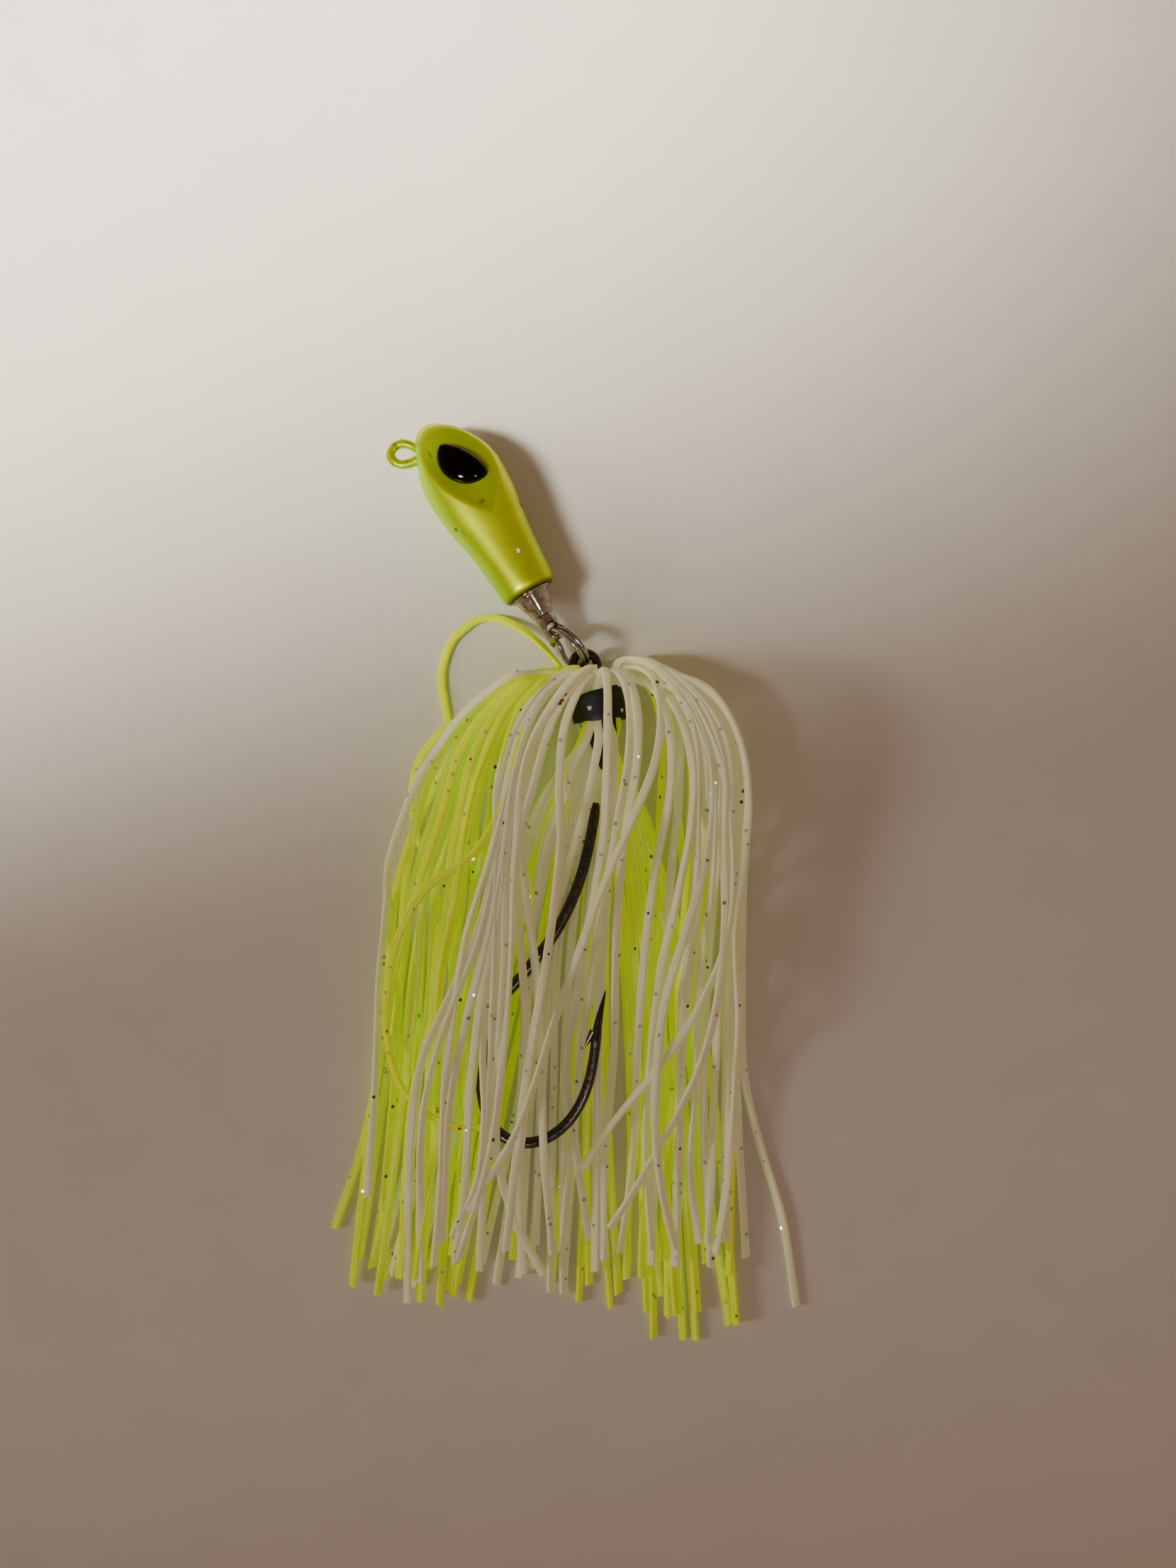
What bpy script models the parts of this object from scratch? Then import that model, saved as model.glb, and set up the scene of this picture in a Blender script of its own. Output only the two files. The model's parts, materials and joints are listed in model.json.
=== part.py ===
"""Swivel-head skirted jig: a painted cast head, a ball-bearing swivel, a split ring, a wide-gap hook and a skirt.

The lure lies flat on its side.  +Z is up, +Y runs from the skirt's tips towards the head, and the origin is the
middle of the underside of its bounding box.  Dimensions below are in millimetres and are turned into metres when
a mesh is made.
"""

import math

import bmesh
import bpy
from mathutils import Matrix, Vector

MM = 0.001

# Head: local x runs across it, local y forwards along its axis from the tail face, local z up.
AXIS_HEIGHT = 4.1
HEAD_TAIL = (-4.0, 34.85, AXIS_HEIGHT)
HEAD_TURN = 30.0
# (forward, centre, half width, half thickness) of the head's cross-sections
HEAD_SECTIONS = [
    (0.0, 0.0, 2.75, 2.75),
    (0.15, 0.0, 3.05, 3.05),
    (0.6, 0.02, 3.3, 3.3),
    (1.6, 0.05, 3.45, 3.42),
    (3.8, 0.02, 3.6, 3.5),
    (6.0, 0.0, 3.8, 3.6),
    (8.4, -0.05, 4.15, 3.75),
    (10.8, -0.1, 4.6, 3.95),
    (13.2, -0.12, 4.85, 4.15),
    (15.6, -0.14, 4.92, 4.25),
    (17.4, -0.2, 4.6, 4.15),
    (18.9, -0.28, 4.0, 3.9),
    (20.1, -0.42, 3.4, 3.5),
    (21.2, -0.62, 2.75, 2.9),
    (22.1, -0.85, 2.0, 2.15),
    (22.7, -1.0, 1.3, 1.4),
    (23.05, -1.07, 0.65, 0.7),
]
HEAD_NOSE = (-1.1, 23.2)
HEAD_SIDES = 36
HEAD_SQUARENESS = 2.25
# Eye sockets: an ellipsoid scoop on each flank, and an almond pocket in its floor for the eye
SOCKET_CENTRE = (0.5, 17.0, 5.75)
SOCKET_RADII = (3.9, 5.9, 2.75)
EYE_MIDDLE = (1.02, 17.53)
EYE_HALF_LENGTH = 3.15
EYE_LENGTH_TURN = 120.1
EYE_SAGS = (1.15, 2.55)
EYE_LEVELS = (2.2, 3.15, 3.95)
EYE_CLEARANCE = 0.06
# Line tie: a teardrop wire loop that stands out of the nose's left side, in the plane of the lure
TIE_CENTRE = (-18.96, 51.17, AXIS_HEIGHT)
TIE_HALF_LENGTH = 1.62
TIE_HALF_HEIGHT = 1.27
TIE_WIRE_RADIUS = 0.52
TIE_STEM_END = 7.2
TIE_CLEARANCE = 0.06

# Swivel, turned about the head's axis: (radius, forward) outlines
BARREL_OUTLINE = [
    (1.7, 1.55),
    (2.15, 1.55),
    (2.15, -0.06),
    (2.55, -0.06),
    (2.55, -0.28),
    (2.2, -0.4),
    (1.24, -3.1),
    (0.72, -3.1),
    (0.72, -0.9),
    (1.7, -0.9),
]
BARREL_POCKET = (2.25, 1.75)
STUD_OUTLINE = [
    (0.0, 0.75),
    (1.4, 0.75),
    (1.5, 0.65),
    (1.5, 0.14),
    (0.65, 0.14),
    (0.65, -3.18),
    (1.22, -3.18),
    (1.2, -3.9),
    (1.17, -4.6),
    (1.15, -5.3),
    (1.12, -5.9),
    (0.95, -6.25),
    (0.6, -6.42),
    (0.0, -6.46),
]
LUG_HOLE_FORWARD = -5.1
LUG_HOLE_RADIUS = 0.8
LUG_HOLE_LEAN = 17.6
BALL_COUNT = 7
BALL_RADIUS = 0.47
BALL_CIRCLE_RADIUS = 1.175
BALL_FORWARD = -0.38

# Split ring: two turns of wire in a plane that leans out of the vertical
RING_CENTRE = (0.43, 28.5, AXIS_HEIGHT)
RING_LONG_AXIS = (0.675, -0.738, 0.0)
RING_LEAN = 72.0
RING_MEAN_RADIUS = 2.775
RING_WIRE_RADIUS = 0.3
RING_COIL_OFFSET = 0.325
RING_STEP_ANGLE = -90.0
RING_STEP_HALF_WIDTH = 25.0
RING_END_SETBACK = 30.0

# Hook: centreline from the eye round to the point, and the eye's loop, all in one level plane
HOOK_EYE_CENTRE = (2.384, 26.363, AXIS_HEIGHT)
HOOK_EYE_RADIUS = 1.45
HOOK_EYE_WIRE = 0.525
HOOK_PATH = [
    (2.83, 24.98),
    (3.45, 23.1),
    (4.04, 21.0),
    (4.29, 17.1),
    (3.9, 12.1),
    (3.1, 6.3),
    (1.55, 0.45),
    (-0.9, -4.75),
    (-4.7, -9.8),
    (-7.9, -13.5),
    (-9.35, -16.9),
    (-9.8, -20.5),
    (-9.65, -24.4),
    (-8.6, -27.6),
    (-6.6, -29.4),
    (-4.1, -29.8),
    (-1.7, -29.05),
    (0.35, -27.4),
    (1.85, -25.2),
    (2.85, -22.6),
    (3.45, -19.7),
    (3.95, -15.8),
    (4.82, -11.85),
]
HOOK_WIRE_RADIUS = 0.6
HOOK_BEND_RADIUS = 0.68
HOOK_POINT_LENGTH = 5.2
HOOK_TIP_RADIUS = 0.06
BARB_FROM = (3.3, -17.3)
BARB_TIP = (2.3, -18.6)
BARB_RADIUS = 0.42

# Rubber sleeve on the shank and the collar that grips the skirt over it, both along the shank
SLEEVE_SPAN = (23.4, 15.2)
SLEEVE_RADII = (0.78, 1.9)
COLLAR_SPAN = (23.2, 19.8)
COLLAR_RADII = (2.0, 3.2)

# Skirt: each tuft is (colour, width, thickness, route of its middle), from the collar to the tips
TUFTS = {
    "skirt_tuft_front_far_left": (
        "chartreuse", 4.6, 1.9,
        [(0.6, 24.3, 1.9), (-3.0, 24.2, 1.7), (-8.0, 21.8, 1.4), (-12.8, 15.0, 1.05), (-16.0, 4.0, 0.95),
         (-18.0, -10.0, 0.95), (-19.6, -24.0, 0.95), (-22.6, -40.0, 0.95)],
    ),
    "skirt_tuft_front_left": (
        "chartreuse", 4.8, 1.7,
        [(0.9, 24.6, 4.6), (-3.4, 22.8, 5.4), (-8.0, 16.5, 4.6), (-11.6, 7.0, 3.9), (-14.0, -6.0, 3.4),
         (-15.8, -20.0, 3.3), (-17.4, -32.0, 3.2), (-18.8, -43.0, 3.1)],
    ),
    "skirt_tuft_over_left": (
        "white", 4.4, 1.5,
        [(1.9, 25.0, 6.4), (-1.2, 24.2, 7.8), (-5.2, 19.0, 8.0), (-7.6, 9.0, 7.4), (-9.0, -3.0, 6.4),
         (-9.9, -14.0, 6.0), (-10.3, -24.0, 6.0), (-11.0, -34.0, 4.9), (-12.2, -44.0, 3.4)],
    ),
    "skirt_tuft_over_top": (
        "white", 3.8, 1.5,
        [(4.3, 25.0, 6.6), (4.7, 25.2, 8.8), (5.6, 20.0, 9.3), (7.0, 9.0, 7.8), (8.4, -4.0, 5.6),
         (9.4, -16.0, 4.2), (9.6, -30.0, 3.6), (9.2, -41.0, 3.3)],
    ),
    "skirt_tuft_over_right": (
        "white", 4.4, 1.6,
        [(6.6, 25.0, 5.6), (10.0, 25.0, 7.2), (14.2, 19.5, 7.0), (16.0, 9.0, 5.6), (15.8, -4.0, 4.2),
         (15.0, -18.0, 3.4), (14.2, -30.0, 3.3), (13.2, -41.0, 3.2)],
    ),
    "skirt_tuft_front_far_right": (
        "white", 3.8, 2.0,
        [(7.4, 24.6, 3.2), (12.6, 24.6, 3.6), (17.4, 19.6, 2.8), (19.8, 9.0, 1.6), (20.2, -4.0, 1.05),
         (19.8, -18.0, 1.0), (18.6, -34.0, 1.0)],
    ),
    "skirt_tuft_front_right": (
        "chartreuse", 3.6, 1.8,
        [(7.9, 21.4, 1.7), (10.6, 19.6, 1.4), (13.2, 14.0, 1.0), (14.8, 4.0, 0.92), (15.2, -12.0, 0.92),
         (14.9, -28.0, 0.92), (14.8, -44.0, 0.92)],
    ),
    "skirt_tuft_rear_left": (
        "chartreuse", 5.0, 1.9,
        [(-0.2, 18.6, 1.1), (-3.2, 14.0, 0.95), (-7.2, 4.0, 0.95), (-10.2, -8.0, 0.95), (-12.6, -22.0, 0.95),
         (-15.2, -46.0, 0.95)],
    ),
    "skirt_tuft_rear_mid_left": (
        "white", 4.8, 1.9,
        [(2.0, 17.6, 1.1), (0.4, 12.0, 0.95), (-1.7, 2.0, 0.95), (-4.5, -12.0, 0.95), (-6.6, -26.0, 0.95),
         (-8.0, -44.6, 0.95)],
    ),
    "skirt_tuft_rear_middle": (
        "chartreuse", 5.4, 1.9,
        [(4.6, 17.6, 1.1), (4.3, 10.0, 0.95), (3.5, -2.0, 0.95), (1.9, -14.0, 0.95), (0.6, -28.0, 0.95),
         (0.4, -42.0, 0.95)],
    ),
    "skirt_tuft_rear_right": (
        "chartreuse", 5.4, 1.9,
        [(7.2, 18.2, 1.1), (8.6, 10.0, 0.95), (9.3, -2.0, 0.95), (8.8, -16.0, 0.95), (7.8, -32.0, 0.95),
         (9.2, -54.3, 0.95)],
    ),
}
ROOT_NARROWING = 0.4
FULL_WIDTH_FROM = 0.45
# Single strands that stand clear of the tufts, with the section of one strand
STRAND_WIDTH = 1.05
STRAND_THICKNESS = 0.6
STRANDS = {
    "skirt_strand_loop": (
        "chartreuse",
        [(-2.9, 28.6, 0.45), (-5.2, 30.9, 0.3), (-7.6, 32.1, 0.3), (-10.2, 31.9, 0.3), (-13.0, 29.6, 0.3),
         (-14.7, 26.0, 0.3), (-14.5, 21.6, 0.3), (-13.6, 18.2, 0.3)],
    ),
    "skirt_strand_far_left": (
        "white",
        [(-17.2, 15.0, 0.3), (-19.3, 8.0, 0.3), (-20.9, 0.0, 0.3), (-21.9, -10.0, 0.3), (-22.7, -22.0, 0.3),
         (-25.0, -31.0, 0.3), (-27.4, -40.8, 0.3)],
    ),
    "skirt_strand_far_right": (
        "white",
        [(22.75, -10.0, 0.3), (23.1, -18.0, 0.3), (23.9, -26.6, 0.3), (25.3, -34.0, 0.3), (26.4, -41.0, 0.3),
         (27.3, -49.4, 0.3)],
    ),
}


def clear_scene():
    for leftover in list(bpy.data.objects):
        bpy.data.objects.remove(leftover, do_unlink=True)


def material(name, color, roughness, metallic=0.0):
    """A plain Principled material in the piece's own colour."""
    result = bpy.data.materials.new(name)
    result.use_nodes = True
    shader = result.node_tree.nodes["Principled BSDF"]
    shader.inputs["Base Color"].default_value = (*color, 1.0)
    shader.inputs["Roughness"].default_value = roughness
    shader.inputs["Metallic"].default_value = metallic
    return result


def make_materials():
    return {
        "head_paint": material("head_paint", (0.55, 0.72, 0.02), 0.3),
        "eye_black": material("eye_black", (0.01, 0.01, 0.011), 0.08),
        "nickel": material("nickel", (0.66, 0.63, 0.58), 0.16, 1.0),
        "bearing_steel": material("bearing_steel", (0.72, 0.72, 0.74), 0.1, 1.0),
        "ring_nickel": material("ring_nickel", (0.4, 0.38, 0.36), 0.2, 1.0),
        "black_nickel": material("black_nickel", (0.05, 0.047, 0.045), 0.22, 1.0),
        "black_rubber": material("black_rubber", (0.012, 0.012, 0.013), 0.6),
        "chartreuse": material("chartreuse_silicone", (0.62, 0.8, 0.01), 0.45),
        "white": material("white_silicone", (0.8, 0.76, 0.64), 0.45),
    }


def object_from(name, bm, mat, parent=None):
    """Turn a bmesh in millimetres into an object in metres, its faces pointing out."""
    bmesh.ops.remove_doubles(bm, verts=bm.verts, dist=0.0005)
    bmesh.ops.scale(bm, verts=bm.verts, vec=(MM, MM, MM))
    bmesh.ops.recalc_face_normals(bm, faces=bm.faces)
    mesh = bpy.data.meshes.new(name)
    bm.to_mesh(mesh)
    bm.free()
    mesh.shade_smooth()
    mesh.set_sharp_from_angle(angle=math.radians(40.0))
    if mat is not None:
        mesh.materials.append(mat)
    result = bpy.data.objects.new(name, mesh)
    bpy.context.collection.objects.link(result)
    result.parent = parent
    return result


def cutter_from(name, bm, parent=None):
    """A guide solid for a Boolean: drawn as wire and never rendered."""
    result = object_from(name, bm, None, parent)
    result.hide_render = True
    result.display_type = "WIRE"
    return result


def add_boolean(target, tool, operation):
    modifier = target.modifiers.new(tool.name, "BOOLEAN")
    modifier.operation = operation
    modifier.solver = "EXACT"
    modifier.object = tool


def axis_empty(name, place, rotation=(0.0, 0.0, 0.0), parent=None):
    """An empty that carries the pieces of one moving body; place is in millimetres."""
    result = bpy.data.objects.new(name, None)
    result.empty_display_size = 0.004
    bpy.context.collection.objects.link(result)
    result.location = Vector(place) * MM
    result.rotation_euler = rotation
    result.parent = parent
    return result


def smooth_path(points, steps):
    """Points along one smooth curve through the given ones, with the same number of steps in every span."""
    knots = [Vector(p) for p in points]
    lengths = [(b - a).length for a, b in zip(knots, knots[1:])]
    slopes = []
    for i, knot in enumerate(knots):
        before = max(i - 1, 0)
        after = min(i + 1, len(knots) - 1)
        slopes.append((knots[after] - knots[before]) / sum(lengths[before:after]))
    result = []
    for i, length in enumerate(lengths):
        for step in range(steps):
            t = step / steps
            result.append(
                knots[i] * (2 * t**3 - 3 * t**2 + 1)
                + slopes[i] * length * (t**3 - 2 * t**2 + t)
                + knots[i + 1] * (3 * t**2 - 2 * t**3)
                + slopes[i + 1] * length * (t**3 - t**2)
            )
    result.append(knots[-1])
    return result


def path_frames(path, up, closed=False):
    """A (sideways, upward) pair of unit vectors across the path at each of its points."""
    frames = []
    count = len(path)
    for i in range(count):
        before = path[i - 1] if closed or i > 0 else path[0]
        after = path[(i + 1) % count] if closed or i < count - 1 else path[-1]
        along = (after - before).normalized()
        side = along.cross(up).normalized()
        frames.append((side, side.cross(along).normalized()))
    return frames


def skin(bm, rings, closed_along=False, caps=True):
    """Faces between neighbouring rings of vertices, and flat faces over the open ends."""
    pairs = list(zip(rings, rings[1:]))
    if closed_along:
        pairs.append((rings[-1], rings[0]))
    for ring, following in pairs:
        for i in range(len(ring)):
            j = (i + 1) % len(ring)
            bm.faces.new((ring[i], ring[j], following[j], following[i]))
    if caps and not closed_along:
        bm.faces.new(rings[0])
        bm.faces.new(rings[-1])


def sweep(path, up, outline_at, closed=False):
    """A solid swept along the path; outline_at(i) gives the section's (sideways, upward) points there."""
    bm = bmesh.new()
    rings = []
    for i, (centre, (side, lift)) in enumerate(zip(path, path_frames(path, up, closed))):
        rings.append([bm.verts.new(centre + side * a + lift * b) for a, b in outline_at(i)])
    skin(bm, rings, closed)
    return bm


def circle(radius, sides):
    steps = [2 * math.pi * i / sides for i in range(sides)]
    return [(radius * math.cos(a), radius * math.sin(a)) for a in steps]


def rounded_bar(width, thickness, sides):
    """A superellipse: a flat bar with rounded edges."""
    result = []
    for i in range(sides):
        angle = 2 * math.pi * (i + 0.5) / sides
        c, s = math.cos(angle), math.sin(angle)
        result.append((
            math.copysign(abs(c) ** 0.6, c) * width / 2,
            math.copysign(abs(s) ** 0.6, s) * thickness / 2,
        ))
    return result


def turned(outline, sides):
    """A closed (radius, forward) outline turned about the local y axis."""
    bm = bmesh.new()
    verts = [bm.verts.new((radius, forward, 0.0)) for radius, forward in outline]
    loop = list(zip(verts, verts[1:]))
    if outline[0][0] > 0.0:
        loop.append((verts[-1], verts[0]))
    edges = [bm.edges.new(pair) for pair in loop]
    bmesh.ops.spin(
        bm, geom=verts + edges, cent=(0, 0, 0), axis=(0, 1, 0), angle=2 * math.pi, steps=sides, use_merge=True
    )
    return bm


def tube(path, up, inner, outer, sides):
    """A hollow sleeve swept along the path, open at both ends."""
    bm = bmesh.new()
    frames = path_frames(path, up)
    walls = []
    for radius in (outer, inner):
        outline = circle(radius, sides)
        walls.append([
            [bm.verts.new(centre + side * a + lift * b) for a, b in outline]
            for centre, (side, lift) in zip(path, frames)
        ])
    for rings in walls:
        skin(bm, rings, caps=False)
    for end in (0, -1):
        skin(bm, [walls[0][end], walls[1][end]], caps=False)
    return bm


def cylinder(radius, start, end, sides):
    path = [Vector(start), Vector(end)]
    along = (path[1] - path[0]).normalized()
    up = Vector((0, 0, 1)) if abs(along.z) < 0.9 else Vector((1, 0, 0))
    return sweep(path, up, lambda i: circle(radius, sides))


def head_shell():
    """The cast head's outside, lofted through its sections and closed at the nose."""
    bm = bmesh.new()
    power = 2 / HEAD_SQUARENESS
    rings = []
    for forward, centre, width, thickness in HEAD_SECTIONS:
        ring = []
        for i in range(HEAD_SIDES):
            angle = 2 * math.pi * i / HEAD_SIDES
            c, s = math.cos(angle), math.sin(angle)
            blend = min(forward / 6.0, 1.0)
            bend = 1.0 + (power - 1.0) * blend
            ring.append(bm.verts.new((
                centre + width * math.copysign(abs(c) ** bend, c),
                forward,
                thickness * math.copysign(abs(s) ** bend, s),
            )))
        rings.append(ring)
    skin(bm, rings, caps=False)
    bm.faces.new(rings[0])
    tip = bm.verts.new((HEAD_NOSE[0], HEAD_NOSE[1], 0.0))
    last = rings[-1]
    for i in range(HEAD_SIDES):
        bm.faces.new((last[i], last[(i + 1) % HEAD_SIDES], tip))
    return bm


def ellipsoid(centre, radii):
    bm = bmesh.new()
    bmesh.ops.create_uvsphere(bm, u_segments=28, v_segments=16, radius=1.0)
    bmesh.ops.scale(bm, verts=bm.verts, vec=radii)
    bmesh.ops.translate(bm, verts=bm.verts, vec=centre)
    return bm


def eye_outline(growth, scale=1.0, sides=28):
    """The almond round the eye, as local (x, y) points; growth widens it by that much all round."""
    turn = math.radians(EYE_LENGTH_TURN)
    long_axis = Vector((math.cos(turn), math.sin(turn)))
    short_axis = Vector((math.sin(turn), -math.cos(turn)))
    result = []
    for i in range(sides):
        angle = 2 * math.pi * i / sides
        sag = EYE_SAGS[0] if math.sin(angle) > 0 else EYE_SAGS[1]
        reach = (EYE_HALF_LENGTH * scale + growth) * math.cos(angle)
        rise = (sag * scale + growth) * math.sin(angle)
        result.append(Vector(EYE_MIDDLE) + long_axis * reach + short_axis * rise)
    return result


def eye_solid(side):
    """A domed almond on the flank that side (+1 upper, -1 lower) names."""
    base, rim, crown = EYE_LEVELS
    levels = [(base, 1.0), (rim, 1.0)]
    for step in range(1, 5):
        angle = math.radians(18.0 * step)
        levels.append((rim + (crown - rim) * math.sin(angle), math.cos(angle)))
    bm = bmesh.new()
    rings = []
    for height, scale in levels:
        rings.append([bm.verts.new((p.x, p.y, side * height)) for p in eye_outline(0.0, scale)])
    skin(bm, rings)
    return bm


def eye_pocket(side):
    base = EYE_LEVELS[0] - EYE_CLEARANCE
    bm = bmesh.new()
    rings = []
    for height in (base, SOCKET_CENTRE[2]):
        rings.append([bm.verts.new((p.x, p.y, side * height)) for p in eye_outline(EYE_CLEARANCE)])
    skin(bm, rings)
    return bm


def tie_loop_path():
    """The teardrop: full at its outer end, drawn in where it meets the nose."""
    centre = Vector(TIE_CENTRE)
    result = []
    for i in range(28):
        angle = 2 * math.pi * i / 28
        drawn_in = 1.0 - 0.32 * max(0.0, math.cos(angle))
        result.append(centre + Vector((
            TIE_HALF_LENGTH * math.cos(angle),
            TIE_HALF_HEIGHT * math.sin(angle) * drawn_in,
            0.0,
        )))
    return result


def tie_solids(extra):
    up = Vector((0, 0, 1))
    radius = TIE_WIRE_RADIUS + extra
    loop = sweep(tie_loop_path(), up, lambda i: circle(radius, 12), closed=True)
    centre = Vector(TIE_CENTRE)
    start = centre + Vector((TIE_HALF_LENGTH - 0.1, 0, 0))
    stem = cylinder(radius, start, centre + Vector((TIE_STEM_END + extra, 0, 0)), 12)
    return loop, stem


def build_head(frame, mats):
    head = object_from("head_body", head_shell(), mats["head_paint"], frame)
    pocket_radius, pocket_depth = BARREL_POCKET
    pocket = cylinder(pocket_radius, (0, -1.0, 0), (0, pocket_depth, 0), 36)
    add_boolean(head, cutter_from("cut_swivel_pocket", pocket, frame), "DIFFERENCE")
    for label, side in (("upper", 1), ("lower", -1)):
        x, y, z = SOCKET_CENTRE
        scoop = ellipsoid((x, y, side * z), SOCKET_RADII)
        add_boolean(head, cutter_from(f"cut_socket_{label}", scoop, frame), "DIFFERENCE")
        add_boolean(head, cutter_from(f"cut_eye_{label}", eye_pocket(side), frame), "DIFFERENCE")
        object_from(f"eye_{label}", eye_solid(side), mats["eye_black"], frame)
    for label, solid in zip(("loop", "stem"), tie_solids(TIE_CLEARANCE)):
        add_boolean(head, cutter_from(f"cut_tie_{label}", solid), "DIFFERENCE")
    return head


def build_line_tie(mats):
    loop, stem = tie_solids(0.0)
    tie = object_from("line_tie", loop, mats["head_paint"])
    add_boolean(tie, cutter_from("join_tie_stem", stem), "UNION")


def build_swivel(head_frame, stud_frame, ball_frame, mats):
    object_from("swivel_barrel", turned(BARREL_OUTLINE, 36), mats["nickel"], head_frame)
    stud = object_from("swivel_stud", turned(STUD_OUTLINE, 36), mats["nickel"], stud_frame)
    lean = math.radians(LUG_HOLE_LEAN)
    across = Vector((math.sin(lean), 0, math.cos(lean)))
    middle = Vector((0, LUG_HOLE_FORWARD, 0))
    hole = cylinder(LUG_HOLE_RADIUS, middle - across * 3, middle + across * 3, 28)
    add_boolean(stud, cutter_from("cut_lug_hole", hole, stud_frame), "DIFFERENCE")
    for i in range(BALL_COUNT):
        angle = 2 * math.pi * i / BALL_COUNT
        bm = bmesh.new()
        bmesh.ops.create_uvsphere(bm, u_segments=12, v_segments=8, radius=BALL_RADIUS)
        ball = object_from(f"bearing_ball_{i + 1}", bm, mats["bearing_steel"], ball_frame)
        ball.location = Vector((
            BALL_CIRCLE_RADIUS * math.cos(angle),
            BALL_FORWARD,
            BALL_CIRCLE_RADIUS * math.sin(angle),
        )) * MM


def ring_axes():
    """The ring's long axis, its leaning second axis, and the normal of its plane."""
    long_axis = Vector(RING_LONG_AXIS).normalized()
    level = Vector((-long_axis.y, long_axis.x, 0.0))
    lean = math.radians(RING_LEAN)
    second = level * math.cos(lean) + Vector((0, 0, 1)) * math.sin(lean)
    return long_axis, second, long_axis.cross(second)


def ring_path():
    """Two turns of wire that step from the first coil to the second half way along."""
    long_axis, second, normal = ring_axes()
    centre = Vector(RING_CENTRE)
    start = RING_STEP_ANGLE + RING_END_SETBACK
    end = RING_STEP_ANGLE + 720.0 - RING_END_SETBACK
    middle = RING_STEP_ANGLE + 360.0
    result = []
    count = 72
    for i in range(count + 1):
        degrees = start + (end - start) * i / count
        t = (degrees - middle + RING_STEP_HALF_WIDTH) / (2 * RING_STEP_HALF_WIDTH)
        t = min(max(t, 0.0), 1.0)
        offset = RING_COIL_OFFSET * (2 * t * t * (3 - 2 * t) - 1)
        angle = math.radians(degrees)
        spoke = long_axis * math.cos(angle) + second * math.sin(angle)
        result.append(centre + spoke * RING_MEAN_RADIUS + normal * offset)
    return result


def build_split_ring(mats, frame):
    normal = ring_axes()[2]
    bm = sweep(ring_path(), normal, lambda i: circle(RING_WIRE_RADIUS, 10))
    place_in(frame, object_from("split_ring", bm, mats["ring_nickel"]))


def place_in(frame, piece):
    """Hang a piece made in world coordinates on a frame without moving it."""
    bpy.context.view_layer.update()
    piece.parent = frame
    piece.matrix_parent_inverse = frame.matrix_world.inverted()


def hook_centreline():
    return smooth_path([(x, y, AXIS_HEIGHT) for x, y in HOOK_PATH], 3)


def hook_radii(path):
    """Wire radius along the hook: a little stouter round the bend, drawn to a point at the end."""
    total = sum((b - a).length for a, b in zip(path, path[1:]))
    travelled = 0.0
    radii = []
    for i, point in enumerate(path):
        if i:
            travelled += (point - path[i - 1]).length
        swell = math.sin(math.pi * min(travelled / total, 1.0)) ** 2
        radius = HOOK_WIRE_RADIUS + (HOOK_BEND_RADIUS - HOOK_WIRE_RADIUS) * swell
        left = total - travelled
        taper = min(left / HOOK_POINT_LENGTH, 1.0) ** 0.8
        radii.append(HOOK_TIP_RADIUS + (radius - HOOK_TIP_RADIUS) * taper)
    return radii


def build_hook(mats, frame):
    up = Vector((0, 0, 1))
    path = hook_centreline()
    radii = hook_radii(path)
    hook = object_from("hook", sweep(path, up, lambda i: circle(radii[i], 12)), mats["black_nickel"])
    centre = Vector(HOOK_EYE_CENTRE)
    loop_path = [centre + Vector((a, b, 0)) for a, b in circle(HOOK_EYE_RADIUS, 30)]
    loop = sweep(loop_path, up, lambda i: circle(HOOK_EYE_WIRE, 12), closed=True)
    add_boolean(hook, cutter_from("join_hook_eye", loop), "UNION")
    barb_path = [Vector((*BARB_FROM, AXIS_HEIGHT)), Vector((*BARB_TIP, AXIS_HEIGHT))]
    barb_radii = (BARB_RADIUS, 0.05)
    barb = sweep(barb_path, up, lambda i: circle(barb_radii[i], 8))
    add_boolean(hook, cutter_from("join_hook_barb", barb), "UNION")
    place_in(frame, hook)


def shank_between(start, end):
    """The part of the hook's centreline between two heights in y, closed exactly at both."""
    path = hook_centreline()
    inside = [p for p in path[:24] if end < p.y < start]
    first = shank_point(path, start)
    last = shank_point(path, end)
    return [first] + inside + [last]


def shank_point(path, y):
    for a, b in zip(path, path[1:]):
        if b.y <= y <= a.y:
            return a.lerp(b, (a.y - y) / (a.y - b.y))
    raise ValueError("the shank does not reach there")


def build_collar_and_sleeve(mats, frame):
    up = Vector((0, 0, 1))
    sleeve = tube(shank_between(*SLEEVE_SPAN), up, *SLEEVE_RADII, 20)
    collar = tube(shank_between(*COLLAR_SPAN), up, *COLLAR_RADII, 28)
    place_in(frame, object_from("keeper_sleeve", sleeve, mats["black_rubber"]))
    place_in(frame, object_from("skirt_collar", collar, mats["black_rubber"]))


def tuft_outline(width, thickness, count):
    """A tuft's section at each point: narrow at the collar, then widening to its full width."""
    sections = []
    for i in range(count):
        t = i / (count - 1)
        spread = ROOT_NARROWING + (1.0 - ROOT_NARROWING) * min(t / FULL_WIDTH_FROM, 1.0)
        sections.append(rounded_bar(width * spread, thickness, 8))
    return sections


def build_skirt(mats, frame):
    up = Vector((0, 0, 1))
    for name, (color, width, thickness, route) in TUFTS.items():
        path = smooth_path(route, 2)
        sections = tuft_outline(width, thickness, len(path))
        place_in(frame, object_from(name, sweep(path, up, lambda i: sections[i]), mats[color]))
    for name, (color, route) in STRANDS.items():
        path = smooth_path(route, 3)
        section = rounded_bar(STRAND_WIDTH, STRAND_THICKNESS, 8)
        place_in(frame, object_from(name, sweep(path, up, lambda i: section), mats[color]))


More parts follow.
